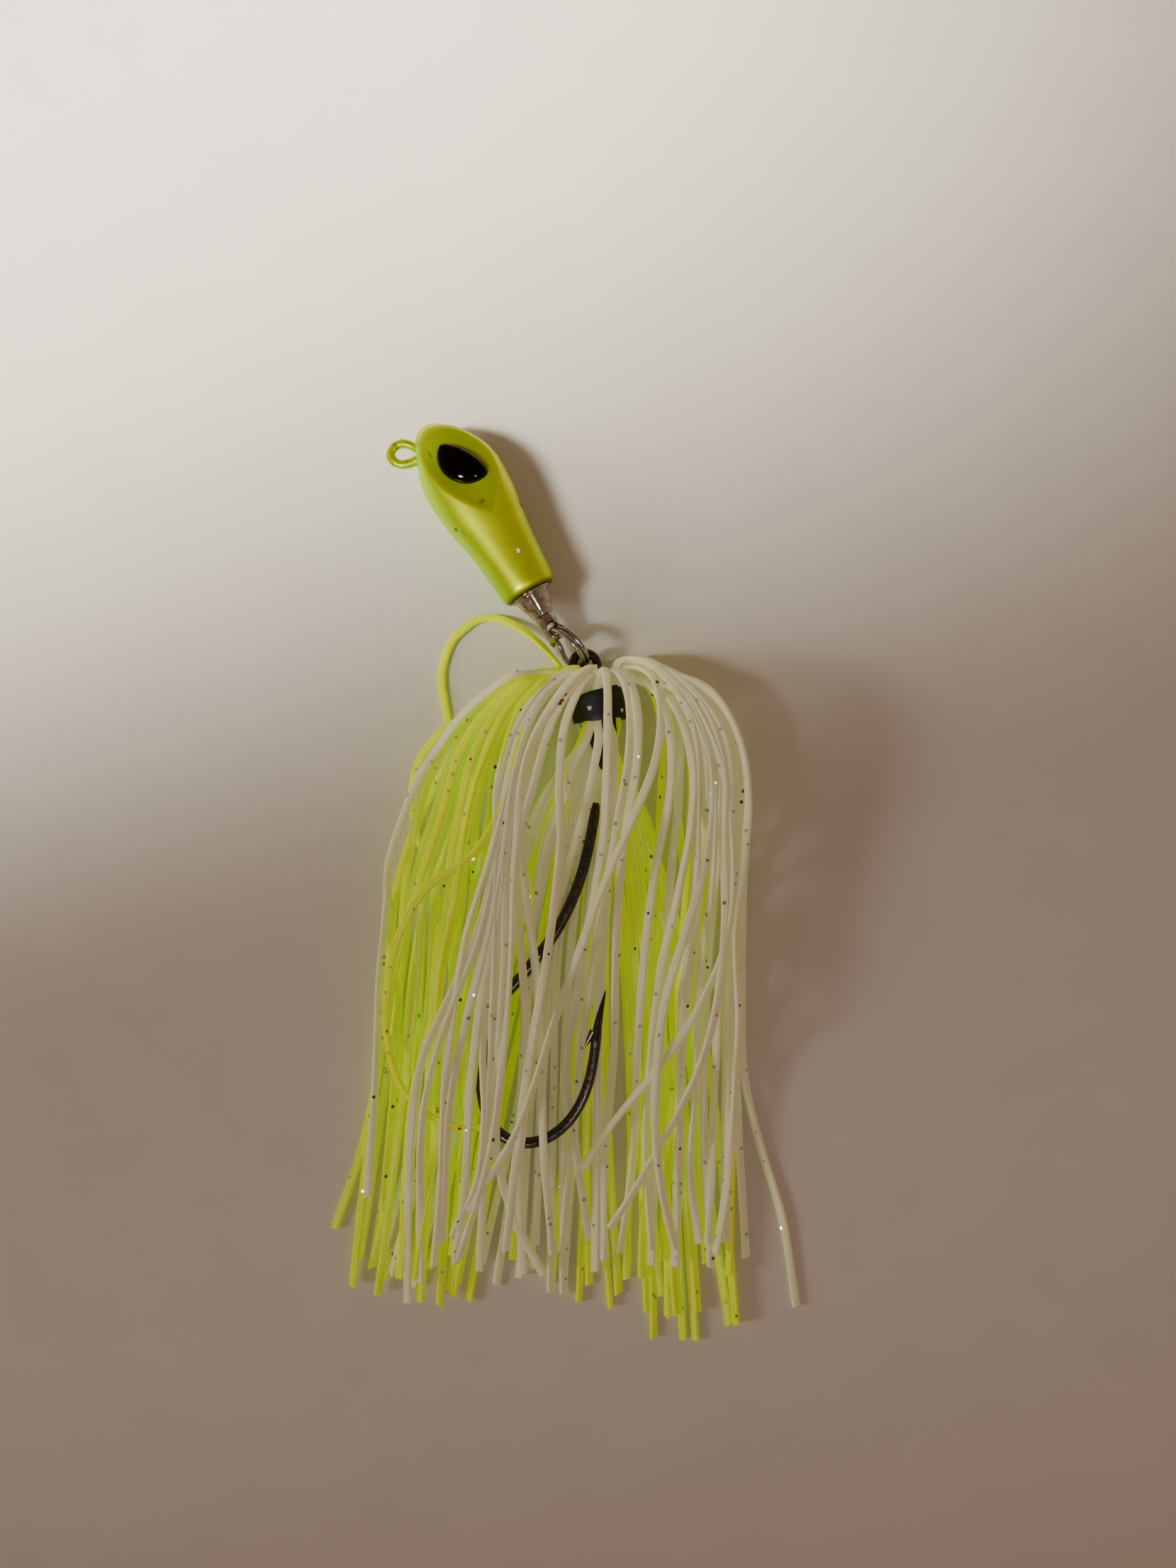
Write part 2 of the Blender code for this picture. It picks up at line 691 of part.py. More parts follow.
def build():
    clear_scene()
    mats = make_materials()
    turn = (0.0, 0.0, math.radians(HEAD_TURN))
    head_frame = axis_empty("head_frame", HEAD_TAIL, turn)
    stud_frame = axis_empty("swivel_axis", (0, 0, 0), parent=head_frame)
    ball_frame = axis_empty("ball_train_axis", (0, 0, 0), parent=head_frame)
    build_head(head_frame, mats)
    build_line_tie(mats)
    build_swivel(head_frame, stud_frame, ball_frame, mats)
    lean = math.radians(LUG_HOLE_LEAN)
    ring_frame = axis_empty("ring_axis", (0, LUG_HOLE_FORWARD, 0), (0.0, lean, 0.0), stud_frame)
    build_split_ring(mats, ring_frame)
    hook_frame = axis_empty("hook_axis", (0, 0, 0))
    bpy.context.view_layer.update()
    hook_frame.parent = ring_frame
    hook_frame.matrix_world = Matrix.Translation(Vector(HOOK_EYE_CENTRE) * MM)
    build_hook(mats, hook_frame)
    build_collar_and_sleeve(mats, hook_frame)
    build_skirt(mats, hook_frame)


build()
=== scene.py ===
"""Looks of the swivel-head skirted jig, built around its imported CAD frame.

Working dimensions are millimetres in the row frame and are turned into metres when a mesh is made.
"""
import json
import math
import random

import bmesh
import bpy
import numpy as np
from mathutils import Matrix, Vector


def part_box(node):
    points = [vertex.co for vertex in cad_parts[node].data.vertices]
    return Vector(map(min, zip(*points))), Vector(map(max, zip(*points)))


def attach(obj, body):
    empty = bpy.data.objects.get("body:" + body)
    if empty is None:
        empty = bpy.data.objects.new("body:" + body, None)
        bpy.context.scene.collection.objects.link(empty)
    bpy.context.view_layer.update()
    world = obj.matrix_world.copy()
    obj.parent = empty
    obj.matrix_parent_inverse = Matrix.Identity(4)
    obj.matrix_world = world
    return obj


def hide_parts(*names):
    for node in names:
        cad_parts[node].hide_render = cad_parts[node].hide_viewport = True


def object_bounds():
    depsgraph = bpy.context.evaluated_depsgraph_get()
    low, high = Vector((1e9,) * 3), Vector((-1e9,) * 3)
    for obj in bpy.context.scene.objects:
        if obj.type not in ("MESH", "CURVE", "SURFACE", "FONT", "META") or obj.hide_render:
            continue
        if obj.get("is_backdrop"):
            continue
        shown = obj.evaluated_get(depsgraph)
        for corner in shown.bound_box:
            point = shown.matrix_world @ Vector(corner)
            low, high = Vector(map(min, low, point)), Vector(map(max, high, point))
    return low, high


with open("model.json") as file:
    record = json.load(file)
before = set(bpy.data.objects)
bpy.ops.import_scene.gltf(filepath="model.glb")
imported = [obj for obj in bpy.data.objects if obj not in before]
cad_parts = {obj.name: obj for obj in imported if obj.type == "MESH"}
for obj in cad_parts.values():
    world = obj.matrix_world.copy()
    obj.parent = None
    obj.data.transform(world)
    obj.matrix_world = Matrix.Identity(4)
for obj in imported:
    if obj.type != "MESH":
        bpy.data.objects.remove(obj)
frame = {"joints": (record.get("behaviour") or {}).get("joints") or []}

cad_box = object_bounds()
MM = 0.001
UP = np.array([0.0, 0.0, 1.0])
rng = random.Random(41)


# ---------------------------------------------------------------- small geometry helpers

def around(sides):
    """Angles evenly spaced round a full turn."""
    return np.arange(sides) * 2 * math.pi / sides


def distance_along(line):
    return np.concatenate([[0.0], np.cumsum(np.linalg.norm(np.diff(line, axis=0), axis=1))])


def box_mm(node):
    low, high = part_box(node)
    return np.array(low) / MM, np.array(high) / MM


def joint_named(name):
    return next(j for j in frame["joints"] if j["name"] == name)


def unit(v):
    v = np.asarray(v, float)
    return v / np.linalg.norm(v, axis=-1, keepdims=True)


def smoothstep(x, low, high):
    t = np.clip((np.asarray(x, float) - low) / (high - low), 0.0, 1.0)
    return t * t * (3 - 2 * t)


def curve_through(points, step):
    """Points about step apart on one smooth curve through the given ones."""
    p = np.asarray(points, float)
    chord = np.linalg.norm(np.diff(p, axis=0), axis=1)
    slope = np.empty_like(p)
    slope[1:-1] = (p[2:] - p[:-2]) / (chord[1:] + chord[:-1])[:, None]
    slope[0] = (p[1] - p[0]) / chord[0]
    slope[-1] = (p[-1] - p[-2]) / chord[-1]
    fine = []
    for i, length in enumerate(chord):
        t = np.linspace(0, 1, max(int(length / step * 3), 6), endpoint=False)[:, None]
        fine.append(
            p[i] * (2 * t**3 - 3 * t**2 + 1) + slope[i] * length * (t**3 - 2 * t**2 + t)
            + p[i + 1] * (3 * t**2 - 2 * t**3) + slope[i + 1] * length * (t**3 - t**2)
        )
    fine.append(p[-1:])
    return resampled(np.concatenate(fine), step)


def resampled(line, step):
    """The line with its points at equal spacing, about step apart."""
    travelled = distance_along(line)
    marks = np.linspace(0.0, travelled[-1], max(int(round(travelled[-1] / step)), 2) + 1)
    return np.stack([np.interp(marks, travelled, line[:, k]) for k in range(line.shape[1])], axis=1)


def tangents(line, closed=False):
    if closed:
        return unit(np.roll(line, -1, axis=0) - np.roll(line, 1, axis=0))
    return unit(np.gradient(line, axis=0))


def ring_grid(rows, closed=False):
    """Faces of a tube whose rows are rings of the same number of points; an open one is capped."""
    count, size = len(rows), len(rows[0])
    faces = []
    for i in range(count if closed else count - 1):
        a, b = i * size, ((i + 1) % count) * size
        for j in range(size):
            k = (j + 1) % size
            faces.append((a + j, a + k, b + k, b + j))
    if not closed:
        faces.append(tuple(range(size))[::-1])
        faces.append(tuple(range((count - 1) * size, count * size)))
    return faces


def add_object(name, data):
    thing = bpy.data.objects.new(name, data)
    bpy.context.scene.collection.objects.link(thing)
    return thing


def shade(mesh, sharp_degrees):
    """Smooth shading, with edges sharper than the angle left crisp."""
    mesh.shade_smooth()
    mesh.set_sharp_from_angle(angle=math.radians(sharp_degrees))


def mesh_object(name, points, faces, mat, sharp_degrees=38.0):
    """An object from points in millimetres, with its faces pointing out."""
    mesh = bpy.data.meshes.new(name)
    mesh.from_pydata([tuple(p) for p in np.asarray(points) * MM], [], faces)
    bm = bmesh.new()
    bm.from_mesh(mesh)
    bmesh.ops.recalc_face_normals(bm, faces=bm.faces)
    bm.to_mesh(mesh)
    bm.free()
    shade(mesh, sharp_degrees)
    if mat is not None:
        mesh.materials.append(mat)
    return add_object(name, mesh)


def tube_object(name, rings, mat, closed=False):
    """An object from rings of points."""
    return mesh_object(name, np.concatenate(rings), ring_grid(rings, closed), mat)


def points_mm(piece):
    return np.array([v.co for v in piece.data.vertices]) / MM


def finish_piece(piece, body, slot, *nodes):
    """The piece rides on its body and stands for the CAD nodes, which are hidden; slot is not used."""
    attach(piece, body)
    if nodes:
        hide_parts(*nodes)


def swept(name, line, sections, side_hint, mat, closed=False):
    """A solid along the line; sections is one (n, 2) outline, or one for each point."""
    line = np.asarray(line, float)
    along = tangents(line, closed)
    side = unit(np.cross(along, side_hint))
    lift = np.cross(side, along)
    outline = np.broadcast_to(sections, (len(line), *np.shape(sections)[-2:]))
    rows = line[:, None] + outline[..., :1] * side[:, None] + outline[..., 1:] * lift[:, None]
    return mesh_object(name, rows.reshape(-1, 3), ring_grid(rows, closed), mat)


def circle(radius, sides):
    a = around(sides)
    return np.stack([radius * np.cos(a), radius * np.sin(a)], axis=1)


def oval(width, thickness, sides, power=0.6):
    """A flat bar's section with rounded edges."""
    a = (np.arange(sides) + 0.5) * 2 * math.pi / sides
    c, s = np.cos(a), np.sin(a)
    return np.stack([
        np.sign(c) * np.abs(c) ** power * width / 2, np.sign(s) * np.abs(s) ** power * thickness / 2
    ], axis=1)


def apply_boolean(target, tool, operation):
    """Cut or join with another object, which is then removed."""
    modifier = target.modifiers.new("join", "BOOLEAN")
    modifier.operation = operation
    modifier.solver = "EXACT"
    modifier.object = tool
    bpy.context.view_layer.update()
    graph = bpy.context.evaluated_depsgraph_get()
    result = bpy.data.meshes.new_from_object(target.evaluated_get(graph))
    target.modifiers.clear()
    target.data = result
    bpy.data.objects.remove(tool, do_unlink=True)


# ---------------------------------------------------------------- places read from the frame

spin = joint_named("swivel_spin")
TAIL = np.array(spin["pos_m"]) / MM
FORWARD = unit(spin["axis"])
ACROSS = unit(np.cross(FORWARD, UP))
AXIS_Z = TAIL[2]
LUG = np.array(joint_named("ring_swing")["pos_m"]) / MM
LUG_AXIS = unit(joint_named("ring_swing")["axis"])
EYE = np.array(joint_named("hook_swing")["pos_m"]) / MM


def from_head(x, forward, z):
    """Row-frame points from the head's own coordinates: across, forward of the tail, up from the axis."""
    x, forward, z = np.broadcast_arrays(x, forward, z)
    return TAIL + x[..., None] * ACROSS + forward[..., None] * FORWARD + z[..., None] * UP


# ---------------------------------------------------------------- materials

class Finish:
    """A Principled material with short ways to add the nodes that vary it."""

    def __init__(self, name, color, roughness, **sockets):
        self.mat = bpy.data.materials.new(name)
        self.mat.use_nodes = True
        self.nodes = self.mat.node_tree.nodes
        self.links = self.mat.node_tree.links
        self.shader = self.nodes["Principled BSDF"]
        self.place = self.nodes.new("ShaderNodeTexCoord").outputs["Object"]
        self.set("Base Color", (*color, 1.0))
        self.set("Roughness", roughness)
        for socket, value in sockets.items():
            self.set(socket.replace("_", " "), value)

    def set(self, socket, value):
        self.shader.inputs[socket].default_value = value

    def drive(self, socket, source):
        self.links.new(source, self.shader.inputs[socket])

    def attribute(self, name):
        node = self.nodes.new("ShaderNodeAttribute")
        node.attribute_name = name
        return node.outputs["Fac"]

    def texture(self, kind, grain_mm, output, **inputs):
        node = self.nodes.new(kind)
        for socket, value in (("Scale", 1.0 / (grain_mm * MM)), *inputs.items()):
            node.inputs[socket].default_value = value
        self.links.new(self.place, node.inputs["Vector"])
        return node.outputs[output]

    def noise(self, grain_mm, detail=3.0, distortion=0.0):
        return self.texture("ShaderNodeTexNoise", grain_mm, "Fac", Detail=detail, Distortion=distortion)

    def cells(self, size_mm):
        return self.texture("ShaderNodeTexVoronoi", size_mm, "Distance")

    def ramp(self, factor, *stops):
        """A colour for each (position, colour or grey value)."""
        node = self.nodes.new("ShaderNodeValToRGB")
        elements = node.color_ramp.elements
        while len(elements) < len(stops):
            elements.new(0.5)
        for element, (position, value) in zip(elements, stops):
            element.position = position
            element.color = (value, value, value, 1.0) if isinstance(value, float) else (*value, 1.0)
        self.links.new(factor, node.inputs["Fac"])
        return node.outputs["Color"]

    def uneven_roughness(self, grain_mm, low, high, top=0.8, detail=3.0):
        self.drive("Roughness", self.ramp(self.noise(grain_mm, detail), (0.3, low), (top, high)))

    def mix(self, factor, a, b, blend="MIX"):
        node = self.nodes.new("ShaderNodeMix")
        node.data_type = "RGBA"
        node.blend_type = blend
        for socket, value in (("Factor", factor), ("A", a), ("B", b)):
            target = next(s for s in node.inputs if s.name == socket and (
                s.type == "RGBA" if socket != "Factor" else s.type == "VALUE"))
            if isinstance(value, bpy.types.NodeSocket):
                self.links.new(value, target)
            else:
                target.default_value = value if socket == "Factor" else (*value, 1.0)
        return next(s for s in node.outputs if s.type == "RGBA")

    def bump(self, height, depth_mm, strength=1.0):
        node = self.nodes.new("ShaderNodeBump")
        node.inputs["Distance"].default_value = depth_mm * MM
        node.inputs["Strength"].default_value = strength
        self.links.new(height, node.inputs["Height"])
        if self.shader.inputs["Normal"].is_linked:
            self.links.new(self.shader.inputs["Normal"].links[0].from_socket, node.inputs["Normal"])
        self.links.new(node.outputs["Normal"], self.shader.inputs["Normal"])


def head_paint():
    """Lime pearl paint under a clear coat, with light and shade painted in: lime on the flank that faces the window
    (painted light), yellow along the back, darker in the eye hollows and in the crease round the tail (painted shade),
    with a few real dark marks.
    """
    f = Finish("head_paint", (0.6, 0.7, 0.0), 0.42, Metallic=0.75, Coat_Weight=0.08, Coat_Roughness=0.1,
               Specular_IOR_Level=0.2)
    # Painted light and shade: the tone is yellow on the back and far side, lime on the flank that faces the window
    # (painted light), and darker olive in the eye hollows (painted shade).
    tone = f.ramp(f.attribute("flank"), (0.0, (0.64, 0.78, 0.0)), (0.45, (0.44, 0.62, 0.0)), (1.0, (0.46, 0.86, 0.0)))
    cloud = f.ramp(f.noise(2.4), (0.35, (0.93, 0.93, 0.9)), (0.7, (1.0, 1.0, 1.0)))
    tone = f.mix(1.0, tone, cloud, "MULTIPLY")
    # Painted shade in the crease round the tail, together with real dark marks, darkens the colour towards near-black.
    marks_and_crease_shade = f.ramp(f.attribute("marks_and_crease_shade"), (0.0, 0.0), (1.0, 1.0))
    tone = f.mix(marks_and_crease_shade, tone, (0.05, 0.045, 0.02))
    f.drive("Base Color", tone)
    f.uneven_roughness(0.9, 0.36, 0.46, top=0.75)
    f.bump(f.noise(0.25, 2.0), 0.002, 0.3)
    f.bump(f.noise(1.6, 2.0), 0.02, 0.4)
    return f.mat


def eye_black():
    """Glossy black paint that has pooled into a dome."""
    f = Finish("eye_black", (0.0, 0.0, 0.0), 0.05, Coat_Weight=0.15, Coat_Roughness=0.03, Specular_IOR_Level=0.12)
    f.uneven_roughness(0.7, 0.03, 0.12)
    f.bump(f.noise(0.9, 2.0), 0.012, 0.5)
    return f.mat


def plated(name, color, roughness, tarnish):
    """Plated wire or turned metal: polished, with faint scuffs and a little tarnish."""
    f = Finish(name, color, roughness, Metallic=1.0)
    f.drive("Base Color", f.mix(f.ramp(f.noise(0.8, 4.0), (0.42, 0.0), (0.66, 0.85)), color, tarnish))
    f.uneven_roughness(0.35, roughness * 0.6, roughness * 1.8, detail=4.0)
    f.bump(f.noise(0.08, 3.0, 1.0), 0.004, 0.5)
    return f.mat


def black_rubber():
    """Satin rubber with a fine tooth."""
    f = Finish("black_rubber", (0.009, 0.009, 0.01), 0.6, Specular_IOR_Level=0.35)
    f.uneven_roughness(0.5, 0.5, 0.75)
    f.bump(f.noise(0.12, 3.0), 0.02, 0.6)
    return f.mat


def silicone(name, deep, pale, glow):
    """Soft translucent skirt silicone, waxy with a faint tooth; glow stands for the light that bleeds through."""
    f = Finish(name, deep, 0.42, Subsurface_Weight=0.25, Subsurface_Scale=0.0008, Specular_IOR_Level=0.22,
               IOR=1.41, Emission_Strength=glow)
    f.set("Emission Color", (*pale, 1.0))
    f.set("Subsurface Radius", (1.0, 0.9, 0.45))
    tone = f.ramp(f.noise(3.5), (0.3, deep), (0.75, pale))
    fleck = f.ramp(f.cells(0.5), (0.0, 0.84), (0.14, 1.0))
    f.drive("Base Color", f.mix(f.ramp(f.noise(1.3), (0.55, 0.0), (0.7, 0.6)), tone,
                                f.mix(1.0, tone, fleck, "MULTIPLY")))
    f.uneven_roughness(0.8, 0.34, 0.5)
    f.bump(f.noise(0.3, 3.0), 0.02, 0.4)
    return f.mat


def flake(name, color, metallic, roughness):
    """A glitter flake or a stuck-on speck."""
    f = Finish(name, color, roughness, Metallic=metallic)
    f.uneven_roughness(0.3, roughness * 0.8, roughness * 1.3, top=0.7)
    return f.mat


def paper():
    """Plain matt paper: faint mottling and fibre."""
    f = Finish("paper", (0.78, 0.76, 0.73), 0.85, Specular_IOR_Level=0.2)
    f.drive("Base Color", f.ramp(f.noise(9.0, 5.0), (0.3, (0.77, 0.75, 0.72)), (0.75, (0.8, 0.78, 0.75))))
    f.bump(f.noise(0.5, 5.0, 0.6), 0.03, 0.5)
    f.bump(f.noise(14.0, 2.0), 0.25, 0.35)
    return f.mat


MATS = {
    "head_paint": head_paint(),
    "eye_black": eye_black(),
    "nickel": plated("swivel_nickel", (0.56, 0.52, 0.41), 0.1, (0.2, 0.14, 0.09)),
    "steel": plated("bearing_steel", (0.74, 0.74, 0.75), 0.08, (0.6, 0.58, 0.55)),
    "ring": plated("ring_nickel", (0.42, 0.4, 0.37), 0.16, (0.25, 0.21, 0.17)),
    "hook": plated("hook_black_nickel", (0.06, 0.053, 0.052), 0.2, (0.1, 0.075, 0.06)),
    "rubber": black_rubber(),
    "chartreuse": silicone("chartreuse_silicone", (0.71, 0.88, 0.0), (0.82, 0.99, 0.0), 0.12),
    "white": silicone("white_silicone", (0.9, 0.92, 0.5), (0.96, 0.97, 0.68), 0.05),
    "dark_flake": flake("dark_flake", (0.06, 0.055, 0.04), 0.1, 0.45),
    "sunk_flake": flake("sunk_flake", (0.46, 0.44, 0.32), 0.0, 0.5),
    "silver_flake": flake("silver_flake", (0.85, 0.85, 0.85), 1.0, 0.2),
    "rust_fleck": flake("rust_fleck", (0.3, 0.035, 0.02), 0.0, 0.5),
    "white_fleck": flake("white_fleck", (0.75, 0.73, 0.68), 0.0, 0.4),
}


# ---------------------------------------------------------------- head

# (forward, centre, half width, half thickness)
HEAD_SECTIONS = [
    (0.15, 0.0, 3.05, 3.05), (0.6, 0.02, 3.3, 3.3), (1.6, 0.05, 3.45, 3.42), (3.8, 0.02, 3.6, 3.5),
    (6.0, 0.0, 3.8, 3.6), (8.4, -0.05, 4.15, 3.75), (10.8, -0.1, 4.6, 3.95), (13.2, -0.12, 4.85, 4.15),
    (15.6, -0.14, 4.92, 4.25), (17.4, -0.2, 4.6, 4.15), (18.9, -0.28, 4.0, 3.9), (20.1, -0.42, 3.4, 3.5),
    (21.2, -0.62, 2.75, 2.9), (22.1, -0.85, 2.0, 2.15), (22.7, -1.0, 1.3, 1.4), (23.05, -1.07, 0.65, 0.7),
    (23.2, -1.1, 0.0, 0.0),
]
HEAD_SQUARENESS = 2.25
HEAD_SIDES = 144
POCKET_RADIUS = 2.25
# The tail's face, from the bottom of the swivel's pocket out to the flank: (radius, forward)
TAIL_FACE = [
    (POCKET_RADIUS, 1.75), (POCKET_RADIUS, 0.6), (POCKET_RADIUS, 0.12), (POCKET_RADIUS + 0.06, 0.03),
    (POCKET_RADIUS + 0.18, 0.0), (2.72, 0.0), (2.9, 0.03), (3.0, 0.09),
]
TIP_RADIUS = 0.002

# The hollow round each eye is a teardrop that points at the tail
HOLLOW_MIDDLE = 16.7
HOLLOW_TO_NOSE = 5.3
HOLLOW_TO_TAIL = 6.9
HOLLOW_HALF_WIDTH = 3.7
HOLLOW_DEPTH = 1.45
HOLLOW_RIM = 0.3

EYE_MIDDLE = (0.8, 16.7)
EYE_HALF_LENGTH = 3.15
EYE_LENGTH_TURN = math.radians(120.1)
EYE_SAGS = (1.15, 2.55)
EYE_LEVELS = (2.2, 3.1, 3.95)
EYE_CLEARANCE = 0.07

# Dirt and nicks in the paint: (across, forward, length, width, strength)
PAINT_MARKS = [
    (-3.9, 10.3, 0.24, 0.15, 1.0), (0.3, 11.3, 0.3, 0.42, 0.6), (-3.3, 9.4, 0.4, 0.12, 0.3),
    (-2.2, 19.2, 0.5, 0.14, 0.5), (4.15, 9.3, 0.45, 0.12, 1.0),
]
FLECK_PLACE = (1.05, 4.4)


def head_outline():
    outline = curve_through(HEAD_SECTIONS, 0.16)
    outline[:, 2:] = np.maximum(outline[:, 2:], TIP_RADIUS)
    return outline


def section_bend(forward):
    """The power that squares the head's section: round at the tail, and fully squared 6 mm on."""
    return 1.0 + (2.0 / HEAD_SQUARENESS - 1.0) * np.minimum(forward / 6.0, 1.0)


def flank_height(outline, x, y):
    """Height of the plain head over (x, y)."""
    centre, width, thickness = (np.interp(y, outline[:, 0], outline[:, k]) for k in (1, 2, 3))
    power = 2.0 / section_bend(y)
    inside = np.clip(1.0 - np.abs((x - centre) / width) ** power, 0.0, 1.0)
    return thickness * inside ** (1.0 / power)


def hollow_shape(y):
    """How deep the hollow is at each place along the head, as a share, and its middle and half width."""
    ahead = np.clip(1.0 - (np.maximum(y - HOLLOW_MIDDLE, 0.0) / HOLLOW_TO_NOSE) ** 2, 0.0, 1.0)
    behind = np.clip(1.0 - np.maximum(HOLLOW_MIDDLE - y, 0.0) / HOLLOW_TO_TAIL, 0.0, 1.0)
    share = np.where(y > HOLLOW_MIDDLE, ahead, np.sin(behind * math.pi / 2))
    half = HOLLOW_HALF_WIDTH * np.where(y > HOLLOW_MIDDLE, ahead ** 0.5, np.sin(behind * math.pi / 2) ** 0.8)
    middle = np.interp(y, (9.8, 12.8, 16.4, 19.4, 22.3), (0.75, 0.75, 0.35, -0.2, -1.0))
    return share, middle, np.maximum(half, 0.02)


def smooth_least(a, b, radius):
    h = np.clip(0.5 + 0.5 * (b - a) / radius, 0.0, 1.0)
    return b * (1 - h) + a * h - radius * h * (1 - h)


def scooped(outline, x, y, z):
    """The flank's height with the eye's hollow scooped out of it."""
    share, middle, half = hollow_shape(y)
    across = (x - middle) / half
    rim = flank_height(outline, middle + np.sign(across) * half, y)
    floor = flank_height(outline, middle, y) - HOLLOW_DEPTH * share ** 1.3
    bowl = floor + (rim - floor) * np.abs(across) ** 2.2
    bowl = np.where(np.abs(across) > 1.0, rim + (np.abs(across) - 1.0) * 4.0, bowl)
    return np.where(share > 0.0, smooth_least(z, np.maximum(bowl, 0.4), HOLLOW_RIM), z)


def eye_outline(growth, scale=1.0, sides=96):
    """The eye's almond outline, seen from its flank."""
    a = around(sides)
    sag = np.where(np.sin(a) > 0, EYE_SAGS[0], EYE_SAGS[1])
    reach = (EYE_HALF_LENGTH * scale + growth) * np.cos(a)
    rise = (sag * scale + growth) * np.sin(a) * (1.0 - 0.12 * np.cos(a) ** 4)
    turn = EYE_LENGTH_TURN
    x = EYE_MIDDLE[0] + math.cos(turn) * reach + math.sin(turn) * rise
    y = EYE_MIDDLE[1] + math.sin(turn) * reach - math.cos(turn) * rise
    return np.stack([x, y], axis=1)


def eye_pocket(side):
    """A plug that cuts the eye's pocket, from just under the eye to clear of the head."""
    points = eye_outline(EYE_CLEARANCE)
    rows = [from_head(points[:, 0], points[:, 1], side * level) for level in (EYE_LEVELS[0] - 0.1, 6.0)]
    return tube_object("pocket", rows, None)


def store_paint(piece, flank, marks_and_crease_shade):
    """Per-point values that the paint reads: a tone that carries painted light and shade (lit flank, shaded eye
    hollows), and how dark a point is, from real marks and painted shade in the tail's crease.
    """
    for name, values in (("flank", flank), ("marks_and_crease_shade", marks_and_crease_shade)):
        piece.data.attributes.new(name, "FLOAT", "POINT").data.foreach_set("value", values.astype(np.float32))


def paint_head(piece):
    local = points_mm(piece) - TAIL
    x, y, z = local @ ACROSS, local @ FORWARD, local[:, 2]
    normals = np.array([v.normal for v in piece.data.vertices])
    share, middle, half = hollow_shape(y)
    # Painted light and shade: the flank that faces the window gets the lime end of the tone, and the eye hollows a
    # darker olive.
    hollow_shade_mask = smoothstep(1.0 - np.abs((x - middle) / half), -0.05, 0.2) * (share > 0) * (np.abs(z) > 1.0)
    flank = np.maximum(smoothstep(-(normals @ ACROSS), 0.25, 0.95), 0.42 * hollow_shade_mask)
    # Painted shade: a dark band in the crease round the tail, where the swivel enters. The marks after it are real
    # dirt and nicks.
    marks_and_crease_shade = np.exp(-((y - 0.05) / 0.26) ** 2) * 0.8
    for mark_x, mark_y, along, across, strength in PAINT_MARKS:
        spot = np.exp(-(((y - mark_y) / along) ** 2 + ((x - mark_x) / across) ** 2) ** 2) * (z > 0)
        marks_and_crease_shade = np.maximum(marks_and_crease_shade, spot * strength)
    store_paint(piece, flank, marks_and_crease_shade)


def build_head_body():
    """The head: its tail face and pocket, then its sections with both hollows scooped out, and the eyes' pockets."""
    outline = head_outline()
    angle = around(HEAD_SIDES)
    c, s = np.cos(angle), np.sin(angle)
    rows = [from_head(radius * c, forward, radius * s) for radius, forward in TAIL_FACE]
    for forward, centre, width, thickness in outline[:-1]:
        bend = section_bend(forward)
        x = centre + width * np.sign(c) * np.abs(c) ** bend
        z = thickness * np.sign(s) * np.abs(s) ** bend
        lowered = scooped(outline, x, np.full_like(x, forward), np.abs(z))
        rows.append(from_head(x, forward, np.sign(z) * np.where(np.abs(z) > 0.5, lowered, np.abs(z))))
    rows.append(from_head(outline[-1, 1] + TIP_RADIUS * c, outline[-1, 0], TIP_RADIUS * s))
    head = tube_object("head_body_painted", rows, MATS["head_paint"])
    for side in (1, -1):
        apply_boolean(head, eye_pocket(side), "DIFFERENCE")
    shade(head.data, 42)
    paint_head(head)
    finish_piece(head, "head", "head_paint", "head_body")
    x, forward = FLECK_PLACE
    z = float(flank_height(outline, x, forward))
    rings = [from_head(x + r * c[::12], forward + r * s[::12], z + lift) for r, lift in ((0.3, -0.2), (0.26, 0.03))]
    finish_piece(tube_object("paint_fleck", rings, MATS["white_fleck"]), "head", "head_paint")


def build_eyes():
    """An eye on each flank: a straight rim, then a dome."""
    base, rim, crown = EYE_LEVELS
    for label, side in (("upper", 1), ("lower", -1)):
        levels = [(base, 0.995), (rim - 0.1, 1.0)]
        for step in range(13):
            a = math.radians(6.6 * step)
            levels.append((rim + (crown - rim) * math.sin(a), math.cos(a) ** 0.85))
        rows = []
        for height, scale in levels:
            points = eye_outline(0.0, scale)
            rows.append(from_head(points[:, 0], points[:, 1], side * height))
        finish_piece(tube_object(f"eye_{label}_gloss", rows, MATS["eye_black"]), "head", "eye_black", f"eye_{label}")


# ---------------------------------------------------------------- line tie

TIE_WIRE = 0.52
TIE_LOOP_REACH = 2.14
# Offsets from the loop's middle: a wire bent into a teardrop, both ends in the nose
TIE_ROUTE = [
    (4.2, 0.35), (2.6, 0.5), (1.55, 0.72), (0.7, 1.1), (-0.2, 1.24), (-1.05, 0.86), (-1.5, 0.05),
    (-1.12, -0.8), (-0.25, -1.2), (0.65, -1.08), (1.55, -0.75), (2.6, -0.5), (4.2, -0.35),
]


